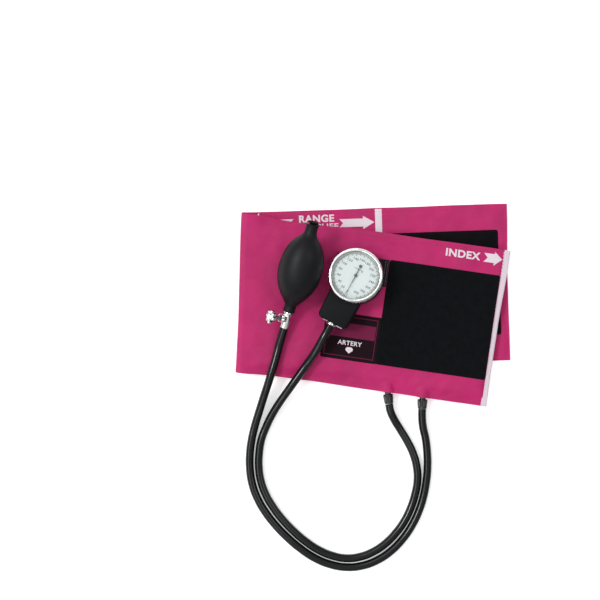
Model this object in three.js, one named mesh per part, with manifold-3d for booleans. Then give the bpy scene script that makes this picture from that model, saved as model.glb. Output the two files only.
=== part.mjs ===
// Aneroid blood pressure cuff: a nylon cuff folded once, with its bladder, two hoses, rubber bulb,
// air release valve and dial gauge. Millimetres, +Z up. X runs along the folded cuff, Y along the fold.
// The origin is on the rest face, midway between the fold and the flap's free end.
import * as THREE from "three";
import Module from "manifold-3d";
import { mergeVertices } from "three/addons/utils/BufferGeometryUtils.js";

const wasm = await Module();
wasm.setup();

// ---------- driving dimensions ----------
const GAP = 0.3; // between pieces that touch
const CUFF_WIDTH = 145;
const FLAP_LENGTH = 248; // fold to free end, behind
const FRONT_LENGTH = 239.3; // fold to index end, in front
const FOLD_X = -124; // hinge line of the fold
const HALF_SKEW = THREE.MathUtils.degToRad(5.15); // each panel leaves the fold at this angle
const CLOTH = 0.8; // a coated nylon sheet
const HINGE_Z = 3.45;

const OUTER_FOLD = { x: -118.5, z: 5.35, r: 5.35 }; // bend of the outer sheet
const INNER_FOLD = { x: -118.8, z: HINGE_Z, r: 2.35 }; // bend of the inner sheet
const FRONT_TOP = OUTER_FOLD.z + OUTER_FOLD.r;
const FLAP_TOP = INNER_FOLD.z - INNER_FOLD.r + CLOTH;

const PATCH = 97; // height of both fastening patches
const LOOP_PATCH = { from: 133, to: 234.4, thick: 1.2 };
const HOOK_PATCH = { from: 138.4, to: 240.4, thick: 1.4 };
const LABEL = { from: 82, to: 132.7, low: -48.5, high: -5.8, thick: 0.4 };
const RANGE_BAR = { from: 127.4, to: 133.6, thick: 0.3 };
const BINDING = { from: 234.8, wall: 0.6 };
const BLADDER = { from: 10, to: 228, height: 122, low: 6.1, thick: 3.5, corner: 12 };
const STRAP = { from: 84, to: 132.7, low: 23, high: 48, thick: 1.0 };

const PORT = { z: 7.85, inner: 10.4, outer: 10.5, r: 4.5, endR: 4.15, innerR: 3.3, bore: 2.5 };
const SPIGOT = { r: 1.7, from: 4, to: 16 }; // the bladder's own outlet inside each sleeve
const PORTS = {
  left: { along: 148.5, turn: THREE.MathUtils.degToRad(15.15) },
  right: { along: 181, turn: THREE.MathUtils.degToRad(6.15) },
};

const HOSE_R = 3.75;
const HOSE_SIDES = 10;
const HOSE_STEPS = 56;

// The gauge's own frame: +Z out of the dial, -Y along its stem.
const GAUGE = { at: [-17.3, 18.2, 17.8], turn: THREE.MathUtils.degToRad(-25) };
const GAUGE_TILT = THREE.MathUtils.degToRad(8.5);
const GAUGE_LEAN = THREE.MathUtils.degToRad(138); // the way the dial leans, in plan
const CASE = { r: 23.6, flange: 25.4, high: 16.6, floor: 1.5, low: 20.8, inner: 22.5, ledge: 10.2 };
const BEZEL = { r: 24.9, window: 21.4, from: 12.2, top: 18.8 };
const NECK = { rootHalf: 15.5, endHalf: 14.4, end: -47.6, top: 10.4, corner: 4 };
const STEM_Z = 4.9; // height of the gauge's hose stem
const CLIP = { half: 10, wall: 1.0, upper: -0.3, lower: -4.3, bend: -46.6, tip: 20 };
const PINION = { r: 1.5, teeth: 10 };
const SECTOR = { r: 12, teeth: 80, from: -44, to: 4 }; // angles from the line to the pinion
const TOOTH = { tip: 0.25, root: 0.4, thickness: 0.34 };

// The bulb's own frame: +Y towards its air inlet, -Y towards the hose.
const BULB = { at: [-69.2, 22.2, 31.9], turn: THREE.MathUtils.degToRad(-12.4) };
const BULB_DIP = THREE.MathUtils.degToRad(14); // the hose end hangs lower
const BULB_WALL = 2.6;
const BULB_END = { inlet: 44.4, hose: -40.4, neck: 5.4, bore: 3.4 };
const VALVE = { from: -40.7, to: -56.6, r: 4.4, bore: 1.3, knobY: -47.4, boss: 7.4 };
const VALVE_ROLL = THREE.MathUtils.degToRad(35); // the knob points this far above level
const KNOB = { from: 14.2, to: 20, r: 6.5, lobes: 8, notch: 1.5, bore: 1.75 };
const BALL = { r: 1.6, inlet: 38, outlet: -40.7 };

// ---------- materials ----------
const material = (color, roughness, metalness = 0) =>
  new THREE.MeshStandardMaterial({ color, roughness, metalness });
const nylon = material(0xba3470, 0.6);
const whiteTape = material(0xe9dfe5, 0.7);
const blackPile = material(0x121217, 0.95);
const labelCloth = material(0x241318, 0.8);
const webbing = material(0x1b1b1f, 0.8);
const blackRubber = material(0x202224, 0.5);
const bladderRubber = material(0x2a2724, 0.7);
const chrome = material(0xd4d6d4, 0.15, 1);
const blackEnamel = material(0x1a1b1d, 0.4);
const dialWhite = material(0xe8ece9, 0.6);
const needleBlack = material(0x101010, 0.5);
const brass = material(0xb5924c, 0.35, 1);
const steel = material(0x8d9094, 0.35, 1);
const glass = new THREE.MeshStandardMaterial({
  color: 0xf2f6f6,
  roughness: 0.05,
  transparent: true,
  opacity: 0.3,
});

// ---------- helpers ----------
const cuffSet = new THREE.Group();

function add(name, geometry, look, parent = cuffSet) {
  const mesh = new THREE.Mesh(geometry, look);
  mesh.name = name;
  parent.add(mesh);
  return mesh;
}

// A geometry as a manifold solid, so that it can be cut or joined.
function solid(geometry) {
  const bare = geometry.index ? geometry.toNonIndexed() : geometry.clone();
  bare.deleteAttribute("normal");
  bare.deleteAttribute("uv");
  const merged = mergeVertices(bare, 1e-4);
  return new wasm.Manifold(
    new wasm.Mesh({
      numProp: 3,
      vertProperties: merged.attributes.position.array,
      triVerts: new Uint32Array(merged.index.array),
    }),
  );
}

function geometryOf(manifold) {
  const mesh = manifold.getMesh();
  const geometry = new THREE.BufferGeometry();
  geometry.setAttribute("position", new THREE.BufferAttribute(mesh.vertProperties, 3));
  geometry.setIndex(new THREE.BufferAttribute(mesh.triVerts, 1));
  return geometry;
}

// A cylinder along Z from one height to another.
function rod(radius, from, to, sides = 24) {
  return new THREE.CylinderGeometry(radius, radius, to - from, sides)
    .rotateX(Math.PI / 2)
    .translate(0, 0, (from + to) / 2);
}

function block(x0, x1, y0, y1, z0, z1) {
  return new THREE.BoxGeometry(x1 - x0, y1 - y0, z1 - z0).translate(
    (x0 + x1) / 2,
    (y0 + y1) / 2,
    (z0 + z1) / 2,
  );
}

// A solid of revolution about Z from [radius, height] points, given from the bottom round the outside.
function turned(points, sides = 48) {
  const profile = points.map(([r, h]) => new THREE.Vector2(r, h));
  return new THREE.LatheGeometry(profile, sides).rotateX(Math.PI / 2);
}

// The same about Y.
function turnedAlongY(points, sides = 32) {
  return new THREE.LatheGeometry(
    points.map(([r, y]) => new THREE.Vector2(r, y)),
    sides,
  );
}

function roundedRectangle(x0, x1, y0, y1, r) {
  const shape = new THREE.Shape();
  shape.moveTo(x0 + r, y0);
  shape.lineTo(x1 - r, y0);
  shape.absarc(x1 - r, y0 + r, r, -Math.PI / 2, 0);
  shape.lineTo(x1, y1 - r);
  shape.absarc(x1 - r, y1 - r, r, 0, Math.PI / 2);
  shape.lineTo(x0 + r, y1);
  shape.absarc(x0 + r, y1 - r, r, Math.PI / 2, Math.PI);
  shape.lineTo(x0, y0 + r);
  shape.absarc(x0 + r, y0 + r, r, Math.PI, 1.5 * Math.PI);
  return shape;
}

// A flat shape in XY given a thickness upwards from z0.
function slab(shape, z0, thick, curveSegments = 6) {
  return new THREE.ExtrudeGeometry(shape, {
    depth: thick,
    bevelEnabled: false,
    curveSegments,
  }).translate(0, 0, z0);
}

// A profile in XZ given a length along Y, centred on y = 0.
function bar(shape, length, curveSegments = 12) {
  return new THREE.ExtrudeGeometry(shape, { depth: length, bevelEnabled: false, curveSegments })
    .rotateX(Math.PI / 2)
    .translate(0, length / 2, 0);
}

function tube(points, radius, sides, steps) {
  const path = new THREE.CatmullRomCurve3(
    points.map((p) => new THREE.Vector3(...p)),
    false,
    "centripetal",
  );
  const section = new THREE.Shape();
  section.absarc(0, 0, radius, 0, 2 * Math.PI);
  return new THREE.ExtrudeGeometry(section, {
    steps,
    extrudePath: path,
    curveSegments: sides,
    bevelEnabled: false,
  });
}

// ---------- the two panels of the cuff ----------
// Each panel's own frame starts at the fold, with +X along the panel and +Y across it.
const front = new THREE.Group();
front.position.set(FOLD_X, 0, 0);
front.rotation.z = -HALF_SKEW;
cuffSet.add(front);
const flap = new THREE.Group();
flap.position.copy(front.position);
flap.rotation.z = HALF_SKEW;
cuffSet.add(flap);

// A sheet's section across the fold: two flats joined by half a ring.
function foldSection(fold) {
  const inside = fold.r - CLOTH;
  const far = FLAP_LENGTH;
  const shape = new THREE.Shape();
  shape.moveTo(far, fold.z + inside);
  shape.lineTo(far, fold.z + fold.r);
  shape.lineTo(fold.x, fold.z + fold.r);
  shape.absarc(fold.x, fold.z, fold.r, Math.PI / 2, 1.5 * Math.PI);
  shape.lineTo(far, fold.z - fold.r);
  shape.lineTo(far, fold.z - inside);
  shape.lineTo(fold.x, fold.z - inside);
  shape.absarc(fold.x, fold.z, inside, 1.5 * Math.PI, Math.PI / 2, true);
  return bar(shape, 2 * CUFF_WIDTH);
}

// The plan of a panel as a tall prism in the part's frame.
function panelPlan(length, skew) {
  const past = 40;
  return block(-past, length, -CUFF_WIDTH / 2, CUFF_WIDTH / 2, -past, past)
    .rotateZ(skew)
    .translate(FOLD_X, 0, 0);
}

// Each sheet is split at the hinge line, so that the flap can swing out.
function panelSheet(fold, isFront) {
  const wide = 2 * FLAP_LENGTH;
  const keep = isFront
    ? block(-wide, wide, -wide, wide, HINGE_Z + GAP / 2, 40)
    : block(-wide, wide, -wide, wide, -40, HINGE_Z - GAP / 2);
  const plan = isFront
    ? panelPlan(FRONT_LENGTH, -HALF_SKEW)
    : panelPlan(FLAP_LENGTH, HALF_SKEW);
  return solid(foldSection(fold)).intersect(solid(plan)).intersect(solid(keep));
}

// Each port's own frame starts at the cuff's lower edge, with +Y pointing into the bladder.
const portFrames = {};
for (const [side, port] of Object.entries(PORTS)) {
  const frame = new THREE.Group();
  frame.position.set(port.along, -CUFF_WIDTH / 2, PORT.z);
  frame.rotation.z = port.turn;
  front.add(frame);
  portFrames[side] = frame;
}
cuffSet.updateMatrixWorld(true);

// A cylinder round a port's axis, in the part's frame.
function roundPort(frame, radius, from, to) {
  return solid(
    new THREE.CylinderGeometry(radius, radius, to - from, 28)
      .translate(0, (from + to) / 2, 0)
      .applyMatrix4(frame.matrixWorld),
  );
}

// The bladder's slab in the part's frame, with some room round it.
function bladderSlab(room) {
  const { from, to, height, corner, low, thick } = BLADDER;
  const half = height / 2 + room;
  const outline = roundedRectangle(from - room, to + room, -half, half, corner);
  return solid(slab(outline, low - room, thick + 2 * room).applyMatrix4(front.matrixWorld));
}

// A front sheet swells into a short tunnel over each port, closed at its inner end.
function frontSheet(fold) {
  const hole = PORT.innerR + GAP;
  const end = PORT.inner + GAP;
  const plan = solid(panelPlan(FRONT_LENGTH, -HALF_SKEW));
  const side = fold === OUTER_FOLD ? [PORT.z + GAP / 2, 40] : [-40, PORT.z - GAP / 2];
  const half = solid(block(-FLAP_LENGTH, FLAP_LENGTH, -CUFF_WIDTH, CUFF_WIDTH, ...side));
  let sheet = panelSheet(fold, true);
  for (const frame of Object.values(portFrames)) {
    const tunnel = roundPort(frame, hole + CLOTH, -4, end + CLOTH);
    sheet = sheet.add(tunnel.intersect(plan).intersect(half));
    sheet = sheet.subtract(roundPort(frame, hole, -20, end));
    sheet = sheet.subtract(roundPort(frame, SPIGOT.r + GAP, 0, SPIGOT.to));
  }
  return geometryOf(sheet.subtract(bladderSlab(GAP - 0.05)));
}

add("front_outer_cover", frontSheet(OUTER_FOLD), nylon);
add("front_inner_cover", frontSheet(INNER_FOLD), nylon);
add("flap_outer_cover", geometryOf(panelSheet(OUTER_FOLD, false)), nylon);
add("flap_inner_cover", geometryOf(panelSheet(INNER_FOLD, false)), nylon);

add(
  "hook_patch",
  block(HOOK_PATCH.from, HOOK_PATCH.to, -PATCH / 2, PATCH / 2, 0, HOOK_PATCH.thick),
  blackPile,
  flap,
).position.z = FLAP_TOP + GAP;
add(
  "range_bar",
  block(RANGE_BAR.from, RANGE_BAR.to, 1 - CUFF_WIDTH / 2, CUFF_WIDTH / 2 - 1, 0, RANGE_BAR.thick),
  whiteTape,
  flap,
).position.z = FLAP_TOP + GAP;
add(
  "loop_patch",
  block(LOOP_PATCH.from, LOOP_PATCH.to, -PATCH / 2, PATCH / 2, 0, LOOP_PATCH.thick),
  blackPile,
  front,
).position.z = FRONT_TOP + GAP;
add(
  "cuff_label",
  block(LABEL.from, LABEL.to, LABEL.low, LABEL.high, 0, LABEL.thick),
  labelCloth,
  front,
).position.z = FRONT_TOP + GAP;

// The tape that closes the index end is a channel round both sheets.
function bindingSection() {
  const low = INNER_FOLD.z + INNER_FOLD.r - CLOTH - GAP;
  const high = FRONT_TOP + GAP;
  const inner = FRONT_LENGTH + GAP;
  const { from, wall } = BINDING;
  const shape = new THREE.Shape();
  shape.moveTo(from, low - wall);
  shape.lineTo(inner + wall, low - wall);
  shape.lineTo(inner + wall, high + wall);
  shape.lineTo(from, high + wall);
  shape.lineTo(from, high);
  shape.lineTo(inner, high);
  shape.lineTo(inner, low);
  shape.lineTo(from, low);
  return shape;
}
add("index_binding", bar(bindingSection(), CUFF_WIDTH + 0.6), whiteTape, front);

// ---------- bladder and its ports ----------
// Two spigots stand out of the bladder's lower edge, one inside each sleeve.
function bladder() {
  let body = bladderSlab(0);
  for (const frame of Object.values(portFrames)) {
    body = body.add(roundPort(frame, SPIGOT.r, SPIGOT.from, SPIGOT.to));
  }
  return geometryOf(body);
}
add("bladder", bladder(), bladderRubber);

function portSleeve() {
  const end = -PORT.outer;
  return turnedAlongY([
    [PORT.bore, end],
    [PORT.endR, end],
    [PORT.endR + 0.1, end + 1.5],
    [PORT.r, -2.6],
    [PORT.r - 0.4, -1.7],
    [PORT.innerR, -1.7],
    [PORT.innerR, PORT.inner],
    [PORT.bore, PORT.inner],
    [PORT.bore, end],
  ]);
}

function hoseBarb() {
  return turnedAlongY(
    [
      [1.3, -9.8],
      [1.9, -9.8],
      [2.2, -8.2],
      [1.9, -8.2],
      [2.2, -5],
      [2.2, 3.2],
      [1.3, 3.2],
      [1.3, -9.8],
    ],
    20,
  );
}

for (const [side, frame] of Object.entries(portFrames)) {
  add(`port_sleeve_${side}`, portSleeve(), blackRubber, frame);
  add(`port_barb_${side}`, hoseBarb(), steel, frame);
}

// ---------- gauge ----------
const gauge = new THREE.Group();
gauge.position.set(...GAUGE.at);
const leanAxis = new THREE.Vector3(-Math.sin(GAUGE_LEAN), Math.cos(GAUGE_LEAN), 0);
gauge.quaternion
  .setFromAxisAngle(leanAxis, GAUGE_TILT)
  .multiply(new THREE.Quaternion().setFromAxisAngle(new THREE.Vector3(0, 0, 1), GAUGE.turn));
cuffSet.add(gauge);

add(
  "gauge_case",
  turned([
    [0, 0],
    [CASE.flange - 3.5, 0],
    [CASE.flange - 0.8, 0.4],
    [CASE.flange, 1.4],
    [CASE.flange, 3.2],
    [CASE.flange - 0.7, 4.4],
    [CASE.r, 5.0],
    [CASE.r, CASE.high],
    [CASE.inner, CASE.high],
    [CASE.inner, CASE.ledge],
    [CASE.low, CASE.ledge],
    [CASE.low, CASE.floor],
    [0, CASE.floor],
  ]),
  blackEnamel,
  gauge,
);
add(
  "gauge_bezel",
  turned([
    [CASE.r + GAP, BEZEL.from],
    [BEZEL.r - 0.3, BEZEL.from],
    [BEZEL.r, BEZEL.from + 0.5],
    [BEZEL.r, BEZEL.top - 1.6],
    [BEZEL.r - 0.7, BEZEL.top - 0.4],
    [BEZEL.r - 1.6, BEZEL.top],
    [BEZEL.window + 0.4, BEZEL.top],
    [BEZEL.window, BEZEL.top - 0.5],
    [BEZEL.window, BEZEL.top - 1.0],
    [CASE.r + GAP, BEZEL.top - 1.0],
    [CASE.r + GAP, BEZEL.from],
  ]),
  chrome,
  gauge,
);
const LENS_TOP = BEZEL.top - 1.3;
add(
  "gauge_lens",
  turned([
    [0, LENS_TOP - 1.2],
    [CASE.r - 0.6, LENS_TOP - 0.6 + GAP / 2 - 0.1],
    [CASE.r - 0.6, LENS_TOP],
    [BEZEL.window, LENS_TOP],
    [0, LENS_TOP + 0.6],
  ]),
  glass,
  gauge,
);

const DIAL_Z = 13.4;
add(
  "dial_plate",
  geometryOf(
    solid(rod(22.2, DIAL_Z, DIAL_Z + 0.5, 48)).subtract(solid(rod(1.0, 12, 15))),
  ),
  dialWhite,
  gauge,
);
add(
  "dial_ring",
  turned([
    [21.2, CASE.ledge + 1.2],
    [22.2, CASE.ledge + 1.2],
    [22.2, DIAL_Z - GAP],
    [21.2, DIAL_Z - GAP],
    [21.2, CASE.ledge + 1.2],
  ]),
  brass,
  gauge,
);

// Movement plate on the case's ledge, with bearings for the two arbors.
const sectorPivot = [0, -(SECTOR.r + PINION.r)];
const PLATE_Z = CASE.ledge + GAP;
add(
  "movement_plate",
  geometryOf(
    solid(rod(22.1, PLATE_Z, PLATE_Z + 0.6, 48))
      .subtract(solid(rod(0.8, 9, 13)))
      .subtract(solid(rod(0.8, 9, 13).translate(...sectorPivot, 0))),
  ),
  brass,
  gauge,
);
add(
  "pressure_capsule",
  turned([
    [0, CASE.floor + GAP],
    [4, CASE.floor + GAP],
    [4.5, CASE.floor + 0.9],
    [8, CASE.floor + 0.6],
    [11, CASE.floor + 0.9],
    [14, CASE.floor + 0.6],
    [17, CASE.floor + 1.8],
    [17, CASE.floor + 2.6],
    [14, CASE.floor + 3.8],
    [11, CASE.floor + 3.5],
    [8, CASE.floor + 3.8],
    [4.5, CASE.floor + 3.6],
    [4, CASE.floor + 4.2],
    [0, CASE.floor + 4.2],
  ]),
  brass,
  gauge,
);
const PIN_FOOT = CASE.floor + 4.2 + GAP;
const PIN_HEAD = 7.5;
add("capsule_pin", rod(1.0, PIN_FOOT, PIN_HEAD, 20), steel, gauge);

// The rocking shaft turns the pin's lift into the sector's swing.
const ROCKER = { y: -7, z: 8.4, r: 0.6, half: 6 };
add(
  "rocking_shaft",
  geometryOf(
    solid(
      new THREE.CylinderGeometry(ROCKER.r, ROCKER.r, 2 * ROCKER.half, 16)
        .rotateZ(Math.PI / 2)
        .translate(0, ROCKER.y, ROCKER.z),
    )
      .add(solid(block(-0.7, 0.7, ROCKER.y, 1, PIN_HEAD + GAP, PIN_HEAD + GAP + 0.6)))
      .add(solid(block(3.4, 4.4, ROCKER.y - 0.4, ROCKER.y + 0.4, ROCKER.z, 10.0))),
  ),
  steel,
  gauge,
);

// One gear outline: teeth of a trapezoid shape on a circle, from one angle to another.
function toothPoints(gear, index) {
  const pitch = (2 * Math.PI) / gear.teeth;
  const at = index * pitch;
  const half = TOOTH.thickness / 2 / gear.r;
  const flank = 0.08 / gear.r;
  const root = gear.r - TOOTH.root;
  const tip = gear.r + TOOTH.tip;
  return [
    [root, at - half - flank],
    [tip, at - half + flank],
    [tip, at + half - flank],
    [root, at + half + flank],
  ].map(([r, a]) => new THREE.Vector2(r * Math.cos(a), r * Math.sin(a)));
}

const GEAR_Z = 11.5;
const pinionOutline = new THREE.Shape(
  Array.from({ length: PINION.teeth }, (_, i) => toothPoints(PINION, i)).flat(),
);
// A tooth of the sector points at the pinion's centre at rest, so the pinion shows it a gap.
const pinion = slab(pinionOutline, GEAR_Z - 0.1, 1.0).rotateZ(
  -Math.PI / 2 + Math.PI / PINION.teeth,
);
const ARBOR_R = 0.6;
add(
  "pointer_arbor",
  geometryOf(solid(pinion).add(solid(rod(ARBOR_R, 10.3, 15.1, 16)))),
  steel,
  gauge,
);

function sectorOutline() {
  const pitch = (2 * Math.PI) / SECTOR.teeth;
  const first = Math.round(THREE.MathUtils.degToRad(SECTOR.from) / pitch);
  const last = Math.round(THREE.MathUtils.degToRad(SECTOR.to) / pitch);
  const points = [];
  for (let i = first; i <= last; i++) points.push(...toothPoints(SECTOR, i));
  const inner = SECTOR.r - 2.2;
  for (let i = last; i >= first; i -= 2) {
    points.push(new THREE.Vector2(inner * Math.cos(i * pitch), inner * Math.sin(i * pitch)));
  }
  return new THREE.Shape(points);
}

const sectorMiddle = THREE.MathUtils.degToRad((SECTOR.from + SECTOR.to) / 2);
const sectorArm = block(0, SECTOR.r - 1.6, -1.1, 1.1, GEAR_Z, GEAR_Z + 0.8).rotateZ(sectorMiddle);
add(
  "sector_gear",
  geometryOf(
    solid(slab(sectorOutline(), GEAR_Z, 0.8))
      .add(solid(sectorArm))
      .add(solid(rod(2.0, GEAR_Z, GEAR_Z + 0.8)))
      .add(solid(rod(0.6, 9.9, 13.0, 16))),
  ).rotateZ(Math.PI / 2).translate(...sectorPivot, 0),
  brass,
  gauge,
);

// Hairspring: a flat spiral strip round the arbor.
function hairspring() {
  const turns = 3.5;
  const inner = 1.1;
  const pitch = 0.75;
  const wide = 0.22;
  const steps = 84;
  const at = (t, grow) => {
    const angle = t * turns * 2 * Math.PI;
    const r = inner + pitch * t * turns + grow;
    return new THREE.Vector2(r * Math.cos(angle), r * Math.sin(angle));
  };
  const outer = [];
  const back = [];
  for (let i = 0; i <= steps; i++) {
    outer.push(at(i / steps, wide));
    back.unshift(at(i / steps, 0));
  }
  const coil = slab(new THREE.Shape([...outer, ...back]), 12.7, 0.3);
  const stud = rod(0.4, 11.4, 13.2, 12).translate(-inner - pitch * turns - wide, 0, 0);
  return geometryOf(solid(coil).add(solid(stud)));
}
add("hairspring", hairspring(), brass, gauge);

const POINTER_Z = 15.0;
const pointerOutline = new THREE.Shape();
pointerOutline.moveTo(-0.35, 9.2);
pointerOutline.lineTo(-0.45, 0);
pointerOutline.lineTo(-0.12, -18.6);
pointerOutline.lineTo(0.12, -18.6);
pointerOutline.lineTo(0.45, 0);
pointerOutline.lineTo(0.35, 9.2);
add(
  "pointer",
  geometryOf(
    solid(slab(pointerOutline, POINTER_Z + GAP, 0.35))
      .add(solid(rod(1.5, POINTER_Z + GAP, POINTER_Z + GAP + 0.6, 20)))
      .add(solid(rod(1.5, POINTER_Z + GAP, POINTER_Z + GAP + 0.35, 20).translate(0, 9.2, 0))),
  ),
  needleBlack,
  gauge,
);

function neck() {
  const root = -14;
  const { rootHalf, endHalf, end, top, corner } = NECK;
  const shape = new THREE.Shape();
  shape.moveTo(rootHalf, root);
  shape.lineTo(-rootHalf, root);
  shape.lineTo(-endHalf, end + corner);
  shape.absarc(-endHalf + corner, end + corner, corner, Math.PI, 1.5 * Math.PI);
  shape.lineTo(endHalf - corner, end);
  shape.absarc(endHalf - corner, end + corner, corner, -Math.PI / 2, 0);
  const bevel = 1.2;
  const body = new THREE.ExtrudeGeometry(shape, {
    depth: top - 2 * bevel,
    bevelSize: bevel,
    bevelOffset: -bevel,
    bevelThickness: bevel,
    bevelSegments: 2,
    curveSegments: 6,
  }).translate(0, 0, bevel);
  const bore = new THREE.CylinderGeometry(3.3, 3.3, 24, 24).translate(0, end + 4, STEM_Z);
  return geometryOf(
    solid(body)
      .subtract(solid(rod(CASE.r + GAP, -5, 40, 48)))
      .subtract(solid(rod(CASE.flange + GAP, -5, 5.4, 48)))
      .subtract(solid(bore)),
  );
}
add("gauge_neck", neck(), blackEnamel, gauge);
const STEM_END = NECK.end - 2.6;
add(
  "gauge_stem",
  turnedAlongY([
    [0, STEM_END],
    [4.2, STEM_END],
    [4.6, STEM_END + 0.5],
    [4.6, NECK.end - GAP],
    [3.0, NECK.end - GAP],
    [3.0, -33],
    [0, -33],
  ]).translate(0, 0, STEM_Z),
  chrome,
  gauge,
);

// Spring clip: an upper leaf under the case, a bend, and a lower leaf that goes behind the strap.
function clip() {
  const { half, wall, upper, lower, bend, tip } = CLIP;
  const middle = (upper + lower) / 2;
  const outer = (upper - lower) / 2;
  const shape = new THREE.Shape();
  shape.moveTo(12, upper - wall);
  shape.lineTo(12, upper);
  shape.lineTo(bend, upper);
  shape.absarc(bend, middle, outer, Math.PI / 2, 1.5 * Math.PI);
  shape.lineTo(tip, lower);
  shape.lineTo(tip, lower + wall);
  shape.lineTo(bend, lower + wall);
  shape.absarc(bend, middle, outer - wall, 1.5 * Math.PI, Math.PI / 2, true);
  return bar(shape, 2 * half, 10).rotateZ(Math.PI / 2);
}
add("gauge_clip", clip(), chrome, gauge);

// The webbing strap is sewn to the cuff at both ends and passes between the clip's leaves.
function gaugePlane(a, b, local) {
  const x = a * Math.cos(HALF_SKEW) + b * Math.sin(HALF_SKEW) + FOLD_X - GAUGE.at[0];
  const y = -a * Math.sin(HALF_SKEW) + b * Math.cos(HALF_SKEW) - GAUGE.at[1];
  const along = x * Math.cos(GAUGE_LEAN) + y * Math.sin(GAUGE_LEAN);
  return GAUGE.at[2] + local / Math.cos(GAUGE_TILT) - along * Math.tan(GAUGE_TILT);
}

function strap() {
  const foot = FRONT_TOP + GAP;
  const { low, high, thick, from, to } = STRAP;
  const lift = -2.8;
  const stations = [
    { a: from, foot: 1 },
    { a: from + 2.5, foot: 1 },
    { a: from + 4, foot: 0 },
    { a: (from + to) / 2, foot: 0 },
    { a: to - 8, foot: 0 },
    { a: to - 4, foot: 1 },
    { a: to, foot: 1 },
  ];
  const corners = stations.flatMap((s) =>
    [low, high].flatMap((b) => {
      const z = s.foot ? foot : gaugePlane(s.a, b, lift);
      return [s.a, b, z, s.a, b, z + thick];
    }),
  );
  // Corners of a station: 0 low bottom, 1 low top, 2 high bottom, 3 high top.
  const faces = [];
  const quad = (p, q, r, s) => faces.push(p, q, r, p, r, s);
  for (let i = 0; i + 1 < stations.length; i++) {
    const [m, n] = [4 * i, 4 * (i + 1)];
    quad(m + 1, n + 1, n + 3, m + 3);
    quad(m, m + 2, n + 2, n);
    quad(m, n, n + 1, m + 1);
    quad(m + 2, m + 3, n + 3, n + 2);
  }
  const last = 4 * (stations.length - 1);
  quad(0, 1, 3, 2);
  quad(last, last + 2, last + 3, last + 1);
  const geometry = new THREE.BufferGeometry();
  geometry.setAttribute("position", new THREE.Float32BufferAttribute(corners, 3));
  geometry.setIndex(faces);
  return geometry;
}
add("gauge_strap", strap(), webbing, front);

// ---------- bulb and air release valve ----------
const bulbSet = new THREE.Group();
bulbSet.position.set(...BULB.at);
bulbSet.rotation.set(BULB_DIP, 0, BULB.turn, "ZYX");
cuffSet.add(bulbSet);

// Outside of the bulb from the hose end to the inlet, as [radius, y].
const BULB_OUTSIDE = [
  [5.4, -40.4],
  [5.4, -34.6],
  [8.6, -30.4],
  [12.6, -24.8],
  [15.8, -19],
  [18.7, -11.4],
  [19.9, -4],
  [20, 3],
  [18.7, 13],
  [15.8, 21],
  [11.9, 26.8],
  [7.6, 31.6],
  [5.5, 35.4],
  [5.6, BULB_END.inlet],
];

function bulbShell() {
  const inside = BULB_OUTSIDE.slice(2, -2).map(([r, y]) => [
    Math.max(BULB_END.bore, r - BULB_WALL),
    y * 0.94,
  ]);
  const bores = [
    [BULB_END.bore, BULB_END.inlet],
    [BULB_END.bore, BULB_END.inlet - 12.4],
    ...inside.reverse(),
    [BULB_END.bore, -32],
    [BULB_END.bore, BULB_END.hose],
  ];
  return turnedAlongY([...BULB_OUTSIDE, ...bores, BULB_OUTSIDE[0]], 36);
}
add("bulb", bulbShell(), blackRubber, bulbSet);

const INLET = { foot: BULB_END.inlet - 9.4, head: BULB_END.inlet + GAP, r: 3.1, chamber: 2.0, hole: 1.0 };
add(
  "inlet_valve_body",
  turnedAlongY(
    [
      [INLET.hole, INLET.foot],
      [INLET.r, INLET.foot],
      [INLET.r, INLET.head],
      [4.7, INLET.head],
      [4.7, INLET.head + 0.9],
      [INLET.hole, INLET.head + 0.9],
      [INLET.hole, INLET.foot + 8],
      [INLET.chamber, INLET.foot + 7],
      [INLET.chamber, INLET.foot + 2],
      [INLET.hole, INLET.foot + 1.4],
      [INLET.hole, INLET.foot],
    ],
    28,
  ),
  blackEnamel,
  bulbSet,
);
add("inlet_ball", new THREE.SphereGeometry(BALL.r, 16, 12).translate(0, BALL.inlet, 0), steel, bulbSet);

const valve = new THREE.Group();
valve.rotation.y = VALVE_ROLL;
bulbSet.add(valve);

const OUTLET = { chamber: 2.0, from: -36, to: -41 };
function valveBody() {
  const { from, to, r, bore, knobY, boss } = VALVE;
  const body = turnedAlongY(
    [
      [bore, to],
      [r - 0.6, to],
      [r, to + 0.6],
      [r, to + 1.8],
      [r - 0.25, to + 2.1],
      [r - 0.25, from - 2.1],
      [r, from - 1.8],
      [r, from - 0.3],
      [r - 0.3, from],
      [3.1, from],
      [3.1, -33.5],
      [bore, -33.5],
      [bore, OUTLET.from + 1],
      [OUTLET.chamber, OUTLET.from],
      [OUTLET.chamber, OUTLET.to],
      [bore, OUTLET.to - 1],
      [bore, to],
    ],
    32,
  );
  const alongX = (radius, x0, x1) =>
    new THREE.CylinderGeometry(radius, radius, x1 - x0, 24)
      .rotateZ(Math.PI / 2)
      .translate((x0 + x1) / 2, knobY, 0);
  return geometryOf(
    solid(body)
      .add(solid(alongX(r - 0.25, -boss, -2.5)))
      .subtract(solid(alongX(1.9, -boss - 1, -1)))
      .subtract(solid(alongX(2.6, -boss - 1, -boss + 1.2))),
  );
}
add("valve_body", valveBody(), chrome, valve);
add("outlet_ball", new THREE.SphereGeometry(BALL.r, 16, 12).translate(0, BALL.outlet, 0), steel, valve);

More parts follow.
